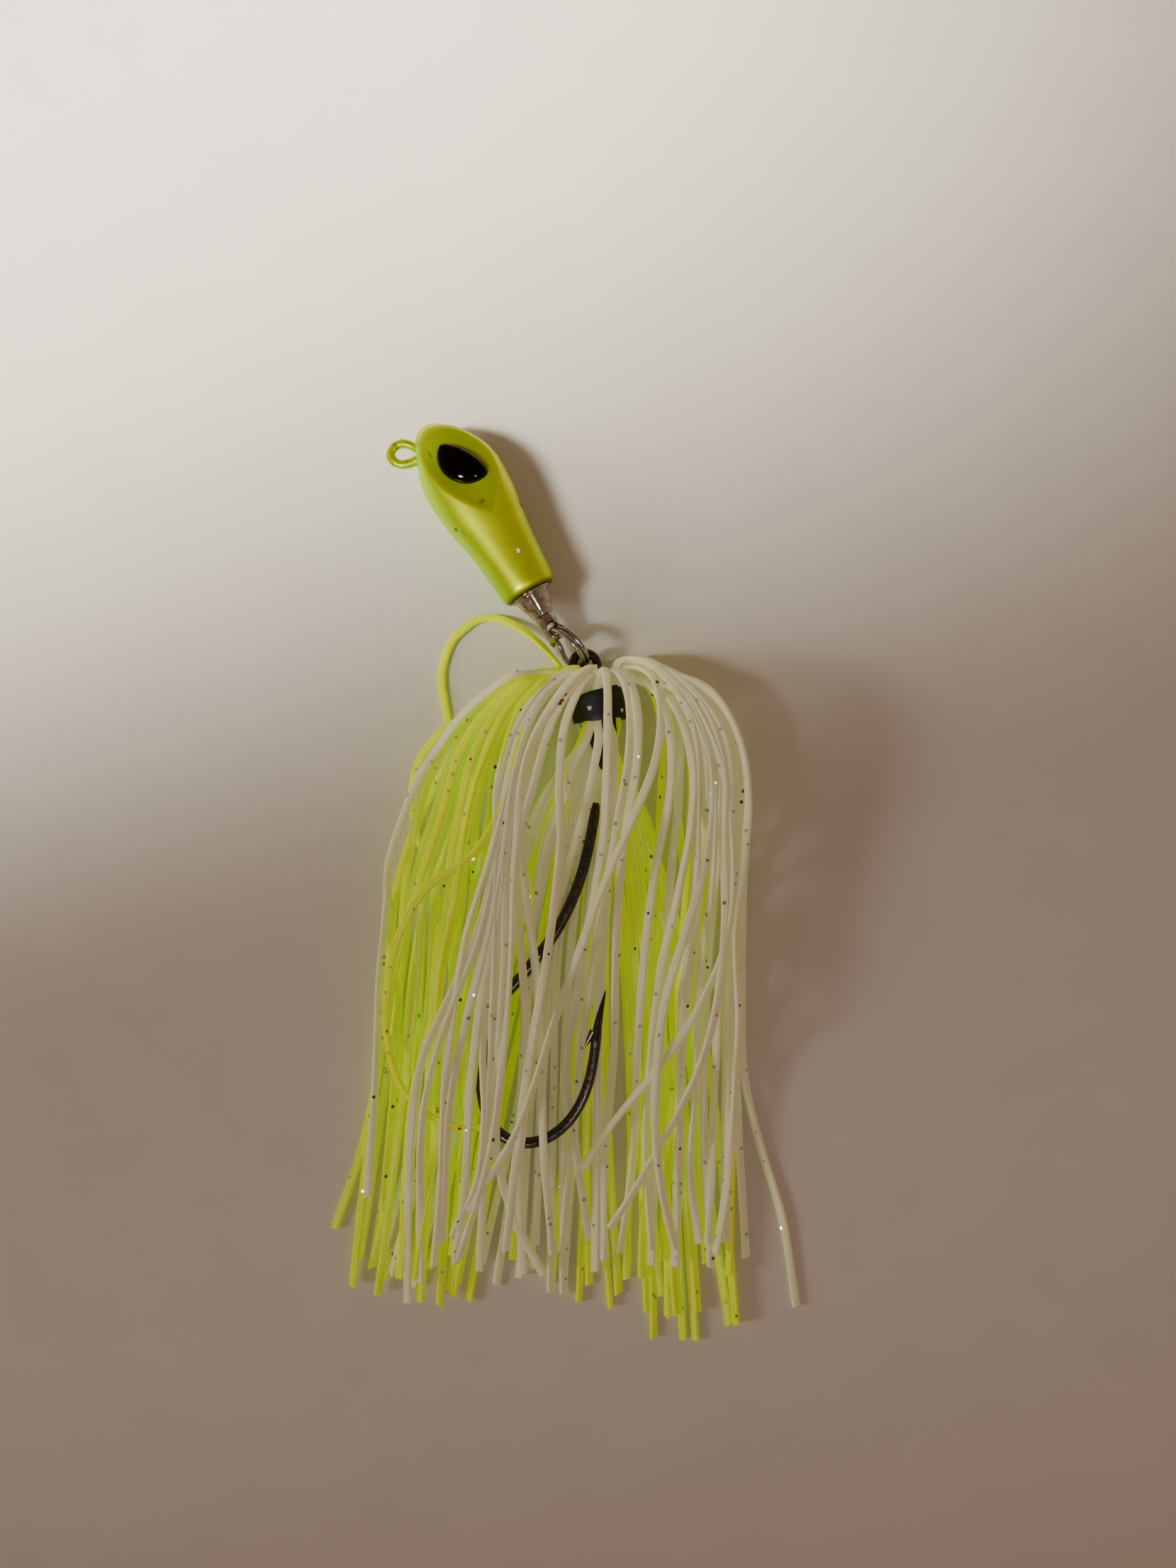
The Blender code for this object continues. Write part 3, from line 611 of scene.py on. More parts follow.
def build_line_tie():
    """The wire loop, thicker where the paint fillets it into the nose, with dirt settled in its paint."""
    low, high = box_mm("line_tie")
    centre = np.array([low[0] + TIE_LOOP_REACH, (low[1] + high[1]) / 2, AXIS_Z])
    line = curve_through([centre + (x, y, 0.0) for x, y in TIE_ROUTE], 0.12)
    along = np.linspace(-1, 1, len(line))
    lumps = 1.0 + 0.03 * np.sin(along * 17.0) + 0.02 * np.sin(along * 41.0 + 1.0)
    fillet = 0.28 * smoothstep(line[:, 0] - centre[0], 1.0, 2.4)
    sections = (TIE_WIRE * lumps + fillet)[:, None, None] * circle(1.0, 28)
    tie = swept("line_tie_painted", line, sections, UP, MATS["head_paint"])
    points = points_mm(tie)
    dirty = smoothstep(np.sin(points[:, 0] * 3.1 + points[:, 1] * 2.3), 0.35, 1.0)
    dirty = dirty * (points[:, 2] > AXIS_Z) * smoothstep(centre[0] + 1.2 - points[:, 0], 0.0, 1.0) * 0.42
    store_paint(tie, np.full(len(points), 0.3), dirty)
    finish_piece(tie, "head", "head_paint", "line_tie")


# ---------------------------------------------------------------- swivel

def rounded_profile(corners, radius, steps=5):
    """A (radius, forward) outline with each of its corners rounded."""
    points = np.asarray(corners, float)
    result = []
    for before, corner, after in zip(points, points[1:], points[2:]):
        to_before, to_after = before - corner, after - corner
        cut = min(radius, 0.45 * np.linalg.norm(to_before), 0.45 * np.linalg.norm(to_after))
        start, end = corner + unit(to_before) * cut, corner + unit(to_after) * cut
        for t in np.linspace(0, 1, steps):
            result.append(start * (1 - t) ** 2 + corner * 2 * t * (1 - t) + end * t * t)
    return [tuple(points[0])] + [tuple(p) for p in result] + [tuple(points[-1])]


def turned(name, outline, sides, mat, closed=False):
    """A solid turned about the head's axis."""
    a = around(sides)
    rows = [from_head(radius * np.cos(a), forward, radius * np.sin(a)) for radius, forward in outline]
    return tube_object(name, rows, mat, closed)


def build_barrel():
    """The swivel's barrel: a thin flange at the head, then a waisted cone, open at its small end."""
    outside = rounded_profile([
        (2.15, 1.5), (2.15, -0.04), (2.52, -0.04), (2.56, -0.17), (2.5, -0.3), (2.22, -0.34), (2.16, -0.55),
        (1.8, -1.55), (1.45, -2.45), (1.27, -3.06), (1.2, -3.1), (0.74, -3.1), (0.72, -3.0), (0.72, -0.9),
        (1.7, -0.85), (1.7, 1.5),
    ], 0.05)
    barrel = turned("swivel_barrel_plated", outside, 120, MATS["nickel"], closed=True)
    finish_piece(barrel, "head", "swivel_nickel", "swivel_barrel")


def build_stud():
    """The stud: a head that runs on the balls, a stem, and a lug with a cross hole for the split ring."""
    outline = rounded_profile([
        (0.02, 0.75), (1.4, 0.75), (1.5, 0.6), (1.5, 0.14), (0.65, 0.14), (0.65, -3.16), (1.14, -3.18),
        (1.2, -3.26), (1.19, -3.9), (1.16, -4.6), (1.16, -5.3), (1.13, -5.9), (0.95, -6.25), (0.6, -6.42),
        (0.02, -6.46),
    ], 0.07)
    stud = turned("swivel_stud_plated", outline, 96, MATS["nickel"])
    middle = TAIL + FORWARD * float((LUG - TAIL) @ FORWARD)
    reach = np.linspace(-1.6, 1.6, 33)
    flare = 0.8 + 0.22 * smoothstep(np.abs(reach), 0.72, 1.25)
    line = middle + reach[:, None] * LUG_AXIS
    drill = swept("drill", line, flare[:, None, None] * circle(1.0, 48), FORWARD, None)
    apply_boolean(stud, drill, "DIFFERENCE")
    shade(stud.data, 40)
    finish_piece(stud, "stud", "swivel_nickel", "swivel_stud")


def build_balls():
    """The swivel's bearing balls, where the CAD has them."""
    for i in range(1, 8):
        name = f"bearing_ball_{i}"
        low, high = box_mm(name)
        bm = bmesh.new()
        bmesh.ops.create_icosphere(bm, subdivisions=4, radius=float(np.max(high - low)) / 2)
        points = np.array([v.co for v in bm.verts]) + (low + high) / 2
        faces = [[v.index for v in f.verts] for f in bm.faces]
        bm.free()
        ball = mesh_object(f"{name}_steel", points, faces, MATS["steel"])
        finish_piece(ball, "ball_train", "bearing_steel", name)


# ---------------------------------------------------------------- split ring and hook

RING_LONG_AXIS = unit((0.675, -0.738, 0.0))
RING_LEAN = math.radians(72.0)
RING_RADIUS = 2.775
RING_STEPS = 361
RING_COIL_OFFSET = 0.325


def build_split_ring():
    """Two turns of flattened wire that step from one coil to the next beside the hook's eye."""
    low, high = box_mm("split_ring")
    centre = (low + high) / 2
    level = np.array([-RING_LONG_AXIS[1], RING_LONG_AXIS[0], 0.0])
    second = level * math.cos(RING_LEAN) + UP * math.sin(RING_LEAN)
    normal = np.cross(RING_LONG_AXIS, second)
    degrees = np.linspace(-60.0, 600.0, RING_STEPS)
    offset = RING_COIL_OFFSET * (2 * smoothstep(degrees, 245.0, 295.0) - 1)
    a = np.radians(degrees)[:, None]
    line = centre + (RING_LONG_AXIS * np.cos(a) + second * np.sin(a)) * RING_RADIUS + normal * offset[:, None]
    end = np.minimum(np.arange(RING_STEPS), np.arange(RING_STEPS)[::-1]) / 4.0
    size = 0.72 + 0.28 * np.clip(end, 0, 1) ** 0.5
    ring = swept("split_ring_wire", line, size[:, None, None] * oval(0.62, 0.6, 20, 0.85), normal, MATS["ring"])
    finish_piece(ring, "ring", "ring_nickel", "split_ring")


# The hook's centreline from its eye round to the point, level with the eye
HOOK_PATH = [
    (2.83, 24.98), (3.45, 23.1), (4.04, 21.0), (4.29, 17.1), (3.9, 12.1), (3.1, 6.3), (1.55, 0.45),
    (-0.9, -4.75), (-4.7, -9.8), (-7.9, -13.5), (-9.35, -16.9), (-9.8, -20.5), (-9.65, -24.4),
    (-8.6, -27.6), (-6.6, -29.4), (-4.1, -29.8), (-1.7, -29.05), (0.35, -27.4), (1.85, -25.2),
    (2.85, -22.6), (3.45, -19.7), (3.95, -15.8), (4.82, -11.85),
]
HOOK_WIRE = 0.6
HOOK_BEND_WIRE = 0.68
HOOK_POINT_LENGTH = 5.6
HOOK_EYE_RADIUS = 1.45
HOOK_EYE_WIRE = 0.525
HOOK_TIP_RADIUS = 0.035
BARB_ROOT = (3.42, -16.7)
BARB_TIP = (2.25, -18.75)
BARB_STEPS = 14


def hook_line(step):
    return curve_through([(x, y, EYE[2]) for x, y in HOOK_PATH], step)


def hook_radii(line):
    """The wire's radius: a little fuller in the bend, and drawn down to the point."""
    travelled = distance_along(line)
    share = travelled / travelled[-1]
    wire = HOOK_WIRE + (HOOK_BEND_WIRE - HOOK_WIRE) * np.sin(np.pi * share) ** 2
    left = travelled[-1] - travelled
    return HOOK_TIP_RADIUS + (wire - HOOK_TIP_RADIUS) * np.clip(left / HOOK_POINT_LENGTH, 0.0, 1.0) ** 0.75


def build_hook():
    """The bent wire, joined with its ring eye and its barb."""
    line = hook_line(0.22)
    hook = swept("hook_wire", line, hook_radii(line)[:, None, None] * circle(1.0, 32), UP, MATS["hook"])
    a = around(96)
    loop_line = EYE + HOOK_EYE_RADIUS * np.stack([np.cos(a), np.sin(a), np.zeros(96)], axis=1)
    apply_boolean(hook, swept("loop", loop_line, circle(HOOK_EYE_WIRE, 28), UP, None, closed=True), "UNION")
    barb_line = np.linspace((*BARB_ROOT, EYE[2]), (*BARB_TIP, EYE[2]), BARB_STEPS)
    barb_size = 0.03 + 0.5 * (1 - np.linspace(0, 1, BARB_STEPS)) ** 0.9
    barb = swept("barb", barb_line, barb_size[:, None, None] * circle(1.0, 20) * (1.0, 0.62), UP, None)
    apply_boolean(hook, barb, "UNION")
    shade(hook.data, 40)
    hook.data.materials.clear()
    hook.data.materials.append(MATS["hook"])
    finish_piece(hook, "hook_and_skirt", "hook_black_nickel", "hook")


# ---------------------------------------------------------------- sleeve and collar

SLEEVE_SPAN = (23.4, 15.2)
SLEEVE_RADII = (0.72, 1.85)
COLLAR_SPAN = (23.2, 19.8)
COLLAR_RADII = (2.72, 3.2)
# Pale specks on the collar: (name, across, y)
COLLAR_SPECKS = [("left", -1.1, 21.15), ("right", 2.65, 20.95)]


def shank_between(start, end, step):
    """Points along the hook's shank from y = start down to y = end."""
    line = hook_line(0.05)
    line = line[:int(len(line) * 0.4)]
    marks = np.linspace(start, end, max(int((start - end) / step), 2) + 1)
    order = np.argsort(line[:, 1])
    x = np.interp(marks, line[order, 1], line[order, 0])
    return np.stack([x, marks, np.full_like(marks, EYE[2])], axis=1)


def build_sleeve():
    """Soft sleeve that the strands are gripped against; its far end was cut at a ragged slant."""
    line = shank_between(*SLEEVE_SPAN, 0.2)
    a = around(56)
    share = np.linspace(0, 1, len(line))
    slant = 1.25 * np.cos(a - 2.6) + 0.28 * np.sin(5 * a) + 0.16 * np.sin(11 * a + 1.0)
    along = tangents(line)
    side = unit(np.cross(along, UP))
    inner, outer = SLEEVE_RADII
    rows = []
    for radius, outside in ((outer * (1.0 + 0.02 * np.sin(3 * a)), True), (np.full(56, inner), False)):
        ring = line[:, None] + side[:, None] * (radius * np.cos(a))[None, :, None] \
            + UP * (radius * np.sin(a))[None, :, None]
        ring = ring + along[:, None] * (slant[None, :] * (share[:, None] ** 3))[..., None]
        rows.extend(ring if outside else ring[::-1])
    sleeve = tube_object("keeper_sleeve_rubber", rows, MATS["rubber"], closed=True)
    finish_piece(sleeve, "hook_and_skirt", "black_rubber", "keeper_sleeve")


def build_collar():
    """The rubber band that grips the skirt: soft edges, a slightly uneven hem and two pale specks."""
    line = shank_between(*COLLAR_SPAN, 0.1)
    a = around(120)
    inner, outer = COLLAR_RADII
    profile = [(inner, 0.03), (inner + 0.12, 0.0), (outer - 0.14, 0.0), (outer - 0.04, 0.015), (outer, 0.05)]
    profile += [(outer + 0.02 * math.sin(math.pi * t), t) for t in (0.2, 0.35, 0.5, 0.65, 0.8)]
    profile += [(outer, 0.95), (outer - 0.04, 0.985), (outer - 0.14, 1.0), (inner + 0.12, 1.0), (inner, 0.97)]
    hem = 0.10 * np.sin(2 * a + 0.4) + 0.07 * np.sin(5 * a) + 0.04 * np.sin(9 * a + 2)
    along = tangents(line)
    side = unit(np.cross(along, UP))
    rows = []
    for radius, share in profile:
        where = share * (len(line) - 1)
        middle, lean, turn = (np.array([np.interp(where, np.arange(len(line)), v[:, k]) for k in range(3)])
                              for v in (line, side, along))
        rows.append(middle + radius * np.cos(a)[:, None] * lean + radius * np.sin(a)[:, None] * UP
                    + (hem * (share - 0.3))[:, None] * turn)
    collar = tube_object("skirt_collar_rubber", rows, MATS["rubber"], closed=True)
    finish_piece(collar, "hook_and_skirt", "black_rubber", "skirt_collar")
    for label, across, y in COLLAR_SPECKS:
        height = math.sqrt(outer * outer - across * across) + 0.06
        normal = unit((across, 0.0, height))
        disc_side = unit(np.cross((0, 1, 0), normal))
        b = around(14)
        rim = 0.27 * (1 + 0.12 * np.sin(3 * b))
        centre = shank_between(y, y - 0.2, 0.2)[0] + (across, 0.0, height)
        ring = centre + (rim * np.cos(b))[:, None] * disc_side + (rim * np.sin(b))[:, None] * np.array([0, 1.0, 0])
        rings = [ring - 0.06 * normal, ring + 0.01 * normal]
        finish_piece(tube_object(f"collar_speck_{label}", rings, MATS["white_fleck"]),
                     "hook_and_skirt", "black_rubber")


# ---------------------------------------------------------------- skirt

STRAND_WIDTH = 0.98
STRAND_THICKNESS = 0.56
STRAND_SIDES = 12
STEP = 0.4
CHOICES = 4         # routes tried for each strand of a fan
LEVEL_TURN = (3.0, 16.0)        # where along a strand its flat side turns from the collar's surface to level
TWIST_GROWTH = (4.0, 22.0)      # where along a strand its slow twist sets in
FLAKE_GAP = 13.0
FLAKE_REACH = 0.32
FLAKES = ("dark_flake", "silver_flake", "sunk_flake", "rust_fleck")
# Where strands leave each end of the collar: x of the shank, y inside the collar, y at its edge
FRONT_EXIT = (3.45, 22.4, 23.5)
REAR_EXIT = (4.1, 20.7, 19.5)
# How far a strand runs before it can rest on the pile
FRONT_FREE = 6.0
REAR_FREE = 2.0
# Two layers of exits round the collar, by radius
LOW_FIRST = (2.15, 2.5)
HIGH_FIRST = (2.5, 2.2)
PAPER_GAP = 0.01

# Lanes across the front of the skirt, left to right: the strand turns back over the collar and runs to its tip.
# Each lane: exit angle round the collar in degrees, then (x, y, height of its arc)
FRONT_LANES = [
    (196, [(-1.5, 25.6, 3.2), (-8.5, 22.8, 3), (-14.3, 17.2, 2.2), (-18, 10.5, 1.2), (-20.7, 1.5, 0.7),
        (-21.9, -9, 0.4), (-22.8, -22, 0.3), (-24.5, -40, 0.3)]),
    (172, [(-1, 25.9, 4.4), (-7, 22.5, 4.6), (-11.2, 16.5, 3.8), (-13.4, 9, 2.6), (-15.5, 0, 1.6), (-17.3, -12, 0.8),
        (-19.5, -27, 0.4), (-22, -49, 0.3)]),
    (148, [(0.8, 26, 5.8), (-4.6, 22.6, 6.2), (-7.9, 17, 5.4), (-9.8, 9, 4), (-11.4, -1, 2.6), (-13, -13, 1.2),
        (-14.6, -27, 0.5), (-16, -49, 0.3)]),
    (124, [(2, 26.3, 7.2), (-1.8, 24, 8.2), (-5.3, 18, 7.8), (-7.2, 9.5, 6.4), (-7.8, -0.5, 4.8), (-8.4, -12, 3),
        (-9.3, -26, 1.6), (-13.5, -42, 0.3)]),
    (104, [(3.2, 26.4, 7.4), (1.3, 24.8, 8.8), (-1.5, 18.5, 8.6), (-3.6, 10, 7.2), (-5, 0, 5.6), (-6.2, -12, 3.6),
        (-8, -26, 1.8), (-10.5, -44, 0.3)]),
    (82, [(4.9, 26, 7.6), (5.2, 23.4, 9), (4.9, 17.4, 8.8), (4.3, 10.5, 7.4), (3.4, 2, 5.6), (2.5, -9, 3.4),
        (2.2, -24, 1.6), (2.5, -43, 0.3)]),
    (56, [(6.2, 26.2, 7), (8.8, 23.8, 8.4), (9.6, 18.5, 8), (9, 10, 6.6), (8.6, 0, 4.6), (8.8, -12, 2.6),
        (9, -26, 1.2), (8.5, -45, 0.3)]),
    (22, [(7, 26.9, 5.8), (12, 24.6, 6.8), (15.6, 18.5, 6.2), (16.8, 10.5, 4.6), (16.6, 1, 2.8), (15.6, -12, 1.4),
        (15, -26, 0.6), (14.8, -46, 0.3)]),
    (-14, [(7.5, 26.4, 4.2), (14, 24.2, 4.6), (19.5, 18.2, 3.6), (21.2, 10, 2), (20.8, 0, 1), (20, -12, 0.5),
        (19.6, -26, 0.3), (18.8, -44, 0.3)]),
]
# Lanes of the strand halves that leave the collar's other end and lie beneath, left to right
REAR_LANES = [
    (206, [(2.2, 17.4, 2.6), (-2.5, 9, 0.5), (-7.5, -6, 0.3), (-12.5, -25, 0.3), (-17, -47, 0.3)]),
    (235, [(3, 16.6, 2.2), (0.6, 8, 0.5), (-2.5, -6, 0.3), (-5.5, -25, 0.3), (-8, -48, 0.3)]),
    (268, [(4.1, 16, 1.8), (4.2, 8, 0.5), (4, -6, 0.3), (3.5, -25, 0.3), (3.5, -49, 0.3)]),
    (300, [(5.2, 16, 2), (7.2, 8, 0.5), (9, -6, 0.3), (10, -25, 0.3), (10.5, -51, 0.3)]),
    (335, [(6, 16.5, 2.6), (10, 8, 0.5), (13.6, -6, 0.3), (16, -25, 0.3), (19.5, -50, 0.3)]),
]

# Strands that lie on top and show from end to end: exit angle, then the route in plan
OVER_RIGHT = [
    (20, [(7.8, 24.6), (12.4, 21.6), (14.6, 15), (14.6, 8), (13.2, 0), (11.4, -9), (10.2, -20), (9.6, -31),
        (10.4, -43)]),
    (28, [(7.2, 25.2), (10.6, 22.8), (12.2, 17), (12, 10), (10.6, 2), (9.4, -8), (8.6, -20), (8.2, -32), (6.6, -44)]),
    (6, [(8.4, 25), (13.4, 22.4), (16.4, 16.5), (17.2, 9), (17, 0), (16, -10), (15.6, -22), (15, -33), (16, -42.5)]),
    (10, [(8.8, 25.6), (13.5, 23), (16.4, 18.5), (18.6, 12), (19.6, 4), (18.9, -5), (15.6, -14.1), (11.2, -20.7),
        (5.7, -27.9), (2.1, -33.4)]),
    (2, [(8.4, 25.8), (12.5, 24.7), (16.1, 20.5), (18.2, 14.1), (18.3, 6.6), (18.6, -3), (17.9, -12), (15.4, -22),
        (11, -31), (5.4, -40.4)]),
    (-8, [(8.6, 25.2), (13, 24.6), (17, 22.6), (19.9, 17.7), (21.1, 10.9), (20.6, 2.4), (19.9, -5.4), (20.3, -16),
        (20.2, -26), (19.4, -35), (18, -43.6)]),
    (34, [(6.9, 26.8), (9.7, 26.4), (13.6, 23.2), (16.3, 17.7), (17.2, 10.9), (16.1, 2.4), (13.8, -5.4), (11.6, -14),
        (10.6, -25), (11.4, -35), (13.2, -43)]),
]
OVER_LEFT = [
    (128, [(1.9, 25.3), (-0.5, 24.2), (-3.6, 20.8), (-5.7, 14.4), (-6.9, 7), (-7.6, -1), (-8.8, -11), (-9.5, -19),
        (-9.3, -26), (-10.2, -34), (-13.4, -41.5)]),
    (152, [(1, 25.1), (-1.5, 23.2), (-4.2, 19), (-6.2, 12.4), (-7.9, 4.5), (-9.5, -3), (-12, -9.5), (-14.8, -15.5),
        (-16.9, -21), (-18, -30), (-18.6, -40), (-18.8, -49.5)]),
    (148, [(1.1, 25.2), (-1.2, 23.6), (-4, 19.6), (-6, 12.8), (-7.6, 5.5), (-8.3, 0.5), (-10, -6), (-12.4, -12),
        (-14.6, -18), (-16.3, -25), (-17, -35), (-17.3, -47)]),
    (138, [(1.3, 25.3), (-1, 23.9), (-4, 20.2), (-5.9, 13.8), (-6.9, 6.2), (-8, 0), (-9.6, -8), (-11.4, -15),
        (-13.2, -24), (-14, -34), (-14.6, -42)]),
    (122, [(2.4, 25.3), (0.4, 23.6), (-2.2, 19.6), (-4.2, 12.6), (-5.4, 4), (-5.2, -5), (-4.6, -14), (-4.6, -24),
        (-5.4, -34), (-5, -46)]),
    (150, [(1, 25.2), (-1.6, 23.6), (-4.4, 19.6), (-6.4, 13), (-8.6, 4), (-11.6, -6), (-13.6, -20), (-14.4, -32),
        (-15.6, -45)]),
    (142, [(1.2, 25.4), (-0.6, 24.4), (-3.8, 20.6), (-5.6, 14.6), (-6.2, 7), (-7.4, -2), (-9.6, -12), (-11, -24),
        (-11.6, -34), (-13, -44.6)]),
    (134, [(1.5, 25.5), (-1.9, 24.1), (-5.3, 19.6), (-7.5, 12.6), (-7.7, 4.5), (-7.9, -5.4), (-8.3, -15), (-8.8, -25),
        (-9.4, -33), (-10.2, -45.5)]),
    (126, [(2.1, 25.4), (-0.2, 24.6), (-3.4, 21.4), (-5.5, 15.2), (-6.7, 8.7), (-6.8, 0), (-7, -9), (-7.7, -20),
        (-7.9, -31), (-6, -39), (-2.6, -46)]),
    (112, [(2.8, 25.3), (0.9, 23.5), (-1.4, 19.4), (-3.4, 12.6), (-4.9, 6.7), (-4.4, -1), (-3.4, -9), (-2.8, -20),
        (-2.4, -31), (-1.4, -43.6)]),
    (108, [(3.2, 25), (1.5, 22.8), (0, 18.6), (-0.5, 12.8), (-0.4, 6), (-1.1, -1), (-2.4, -10), (-4.2, -20),
        (-5.6, -31), (-7, -43)]),
    (118, [(3.5, 25.9), (1.4, 24.8), (-1.9, 20.5), (-4.3, 15.2), (-5.3, 8.8), (-6, 0.3), (-6.2, -7), (-7, -17),
        (-8, -27), (-9.8, -35), (-12.6, -44)]),
]
OVER_TOP = [
    (74, [(5.8, 25.4), (7.1, 23.6), (7.6, 19.4), (7.3, 14.6), (6.2, 8.3), (4.9, 1.3), (3.4, -8), (2.2, -18),
        (0.9, -30), (-0.4, -43.6)]),
    (66, [(6.3, 25.5), (7.8, 23.4), (8.5, 19), (8.2, 13.6), (7.2, 7.6), (6.4, 0), (6, -9), (5.8, -20), (4.8, -32),
        (4.4, -44.6)]),
    (88, [(4.6, 25.6), (4.95, 23.8), (5, 19.4), (4.9, 13.6), (4.6, 6.6), (3.6, 0.3), (2.2, -7.5), (0.9, -15.2),
        (0.2, -21.8), (1, -29), (2.9, -42.3)]),
]
# Strands that leave the collar's other end on top of the sleeve
OVER_SLEEVE = [
    (96, [(4, 17.7, 7.6), (3.4, 14.1, 6.7), (2.7, 10.9, 5.2), (1.7, 6.7, 3.4), (0.4, 2.4, 2), (-1.3, -5.4, 1),
        (-2.6, -20, 0.5), (-3.6, -43, 0.3)]),
    (112, [(2.5, 17.3, 7.3), (1, 14.7, 6), (0.2, 10.9, 4.4), (-0.9, 8.8, 3.6), (-2.1, 5.6, 2.6), (-2.8, 2.4, 1.8),
        (-4, -8, 0.8), (-5, -20, 0.5), (-6, -41, 0.3)]),
    (66, [(5.7, 17.6, 7.5), (5.7, 14.7, 6.6), (5.6, 10, 5), (5.2, 2, 2.4), (4.4, -10, 1), (3.8, -25, 0.5),
        (3.6, -46, 0.3)]),
]
SLEEVE_CHARTREUSE = (124, [(2, 17.4, 7), (0.9, 14.7, 5.9), (-0.6, 11.5, 4.6), (-2.2, 7, 3.2), (-3.6, 0, 1.6),
    (-4.6, -12, 0.8), (-5.4, -30, 0.4), (-6.4, -45, 0.3)])
# Single strands that stand clear of the rest
LOOP = (200, [(-1.2, 27.2, 1.6), (-4.5, 30.4, 0.5), (-7, 31.9, 0.3), (-8.8, 32.4, 0.3), (-10.7, 32.2, 0.3),
    (-12.1, 31.2, 0.3), (-13.7, 29.6, 0.3), (-14.9, 25.7, 0.3), (-14.5, 21.7, 0.3), (-13.8, 18.8, 0.3),
    (-12.7, 16.1, 0.3), (-11.8, 12.1, 0.3), (-12.4, 4, 0.3), (-13.2, -8, 0.3), (-13.5, -24, 0.3)])
LEFT_EDGE = (190, [(-1, 25, 3.2), (-9, 21.5, 2.6), (-14.5, 14, 1.2), (-18.5, 6, 0.5), (-20.3, 0, 0.3),
    (-21.3, -8.7, 0.3), (-22.5, -21, 0.3), (-24.4, -31, 0.3), (-27.8, -41.2, 0.3)])
LEFT_ARC = (180, [(-1, 25.4, 3.8), (-9.5, 21.4, 3), (-14.3, 18.8, 1.6), (-17.3, 15.3, 0.6), (-18.3, 12.1, 0.3),
    (-18.3, 8.9, 0.3), (-17.5, 5.3, 0.3), (-16.5, 2.6, 0.3), (-14.7, -2.9, 0.3), (-13, -12, 0.3), (-12, -42, 0.3)])
CURL = (150, [(-2, 24.8, 6), (-5, 17, 5.2), (-7, 10, 4), (-10.5, 4.3, 2.6), (-16, 0.2, 1.2), (-19.5, -6, 0.6),
    (-20.8, -12.5, 0.3), (-21, -17.5, 0.3), (-19.6, -22.4, 0.3), (-16.7, -25.6, 0.3), (-12.9, -27.5, 0.3),
    (-9, -27.6, 0.3)])
FAR_LEFT = (170, [(-0.6, 25.3, 5), (-5.4, 25, 4.4), (-8.5, 23.1, 3.4), (-11.7, 20.4, 2.2), (-14.1, 17.4, 1.2),
    (-16.9, 13.25, 0.5), (-18.75, 8.9, 0.3), (-20.7, 3.25, 0.3), (-21.3, -0.9, 0.3), (-22, -8.6, 0.3),
    (-22.5, -20.4, 0.3), (-23.6, -37, 0.3)])
FAR_RIGHT = (0, [(7.5, 26, 4.6), (14, 24.4, 4.8), (19.8, 18.2, 3.8), (21.6, 10, 2), (21.4, 0, 1), (21.3, -12, 0.4),
    (21.6, -22.6, 0.3), (23.5, -31, 0.3), (26.2, -40, 0.3), (27.9, -50.6, 0.3)])
# Laid last of all, from the right of the collar across the hook's bend
CROSSING = (40, [(7, 25.7), (8.9, 25.7), (10.4, 24.1), (11.1, 19.9), (10.2, 14.3), (7.6, 7.7), (4.4, 0.3), (0.9, -9.5),
    (-1.4, -16), (-3.3, -22), (-6, -29), (-11.5, -37.8)])
# Red-brown specks stuck to the strands over the collar: (x, y, radius)
RUST_PLACES = [(0.1, 21.9, 0.26), (-0.3, 21.3, 0.24), (0.5, 22.5, 0.2)]


class Pile:
    """How high everything laid so far stands, on a square grid over the paper."""

    CELL = 0.2
    LOW = np.array([-34.0, -62.0])
    HIGH = np.array([34.0, 40.0])

    def __init__(self):
        self.top = np.zeros(np.ceil((self.HIGH - self.LOW) / self.CELL).astype(int) + 1)

    def cells(self, places):
        index = np.rint((places - self.LOW) / self.CELL).astype(int)
        return tuple(np.clip(index, 0, np.array(self.top.shape) - 1).reshape(-1, 2).T)

    def height(self, places):
        return self.top[self.cells(places)].reshape(places.shape[:-1])

    def raise_to(self, places, heights):
        np.maximum.at(self.top, self.cells(places), heights.reshape(-1))


def footprint(line, width, count=7):
    """Places across the line, seen from above."""
    along = unit(np.gradient(line[:, :2], axis=0) + 1e-9)
    side = np.stack([-along[:, 1], along[:, 0]], axis=1)
    return line[:, None, :2] + (np.linspace(-0.5, 0.5, count) * width)[None, :, None] * side[:, None]


def blurred(values, sigma):
    reach = int(3 * sigma) + 1
    kernel = np.exp(-0.5 * (np.arange(-reach, reach + 1) / sigma) ** 2)
    padded = np.pad(values, reach, mode="edge")
    return np.convolve(padded, kernel / kernel.sum(), mode="valid")


# How high the pile can stand before its strands press into each other: (y, height) beneath the hook and over it
REAR_CEILING = [(-50.0, 1.1), (-20.0, 2.2), (5.0, 2.9), (19.0, 6.0)]
FRONT_CEILING = [(-50.0, 1.6), (-36.0, 3.2), (-30.0, 5.4), (-12.0, 5.9), (6.0, 7.0), (16.0, 8.4), (24.0, 9.0)]
THROUGH_CEILING = [(-50.0, 1.4), (-30.0, 2.9), (-8.0, 3.3), (6.0, 5.6), (16.0, 8.2), (24.0, 9.0)]
SLEEVE_CEILING = [(-50.0, 1.3), (-30.0, 2.2), (-8.0, 2.8), (6.0, 4.6), (11.0, 6.6), (15.0, 7.8), (24.0, 8.0)]
GIVE = 0.22
STIFFNESS = 0.028
BRIDGE_REACH = 14.0
FAR_BELOW = 99.0


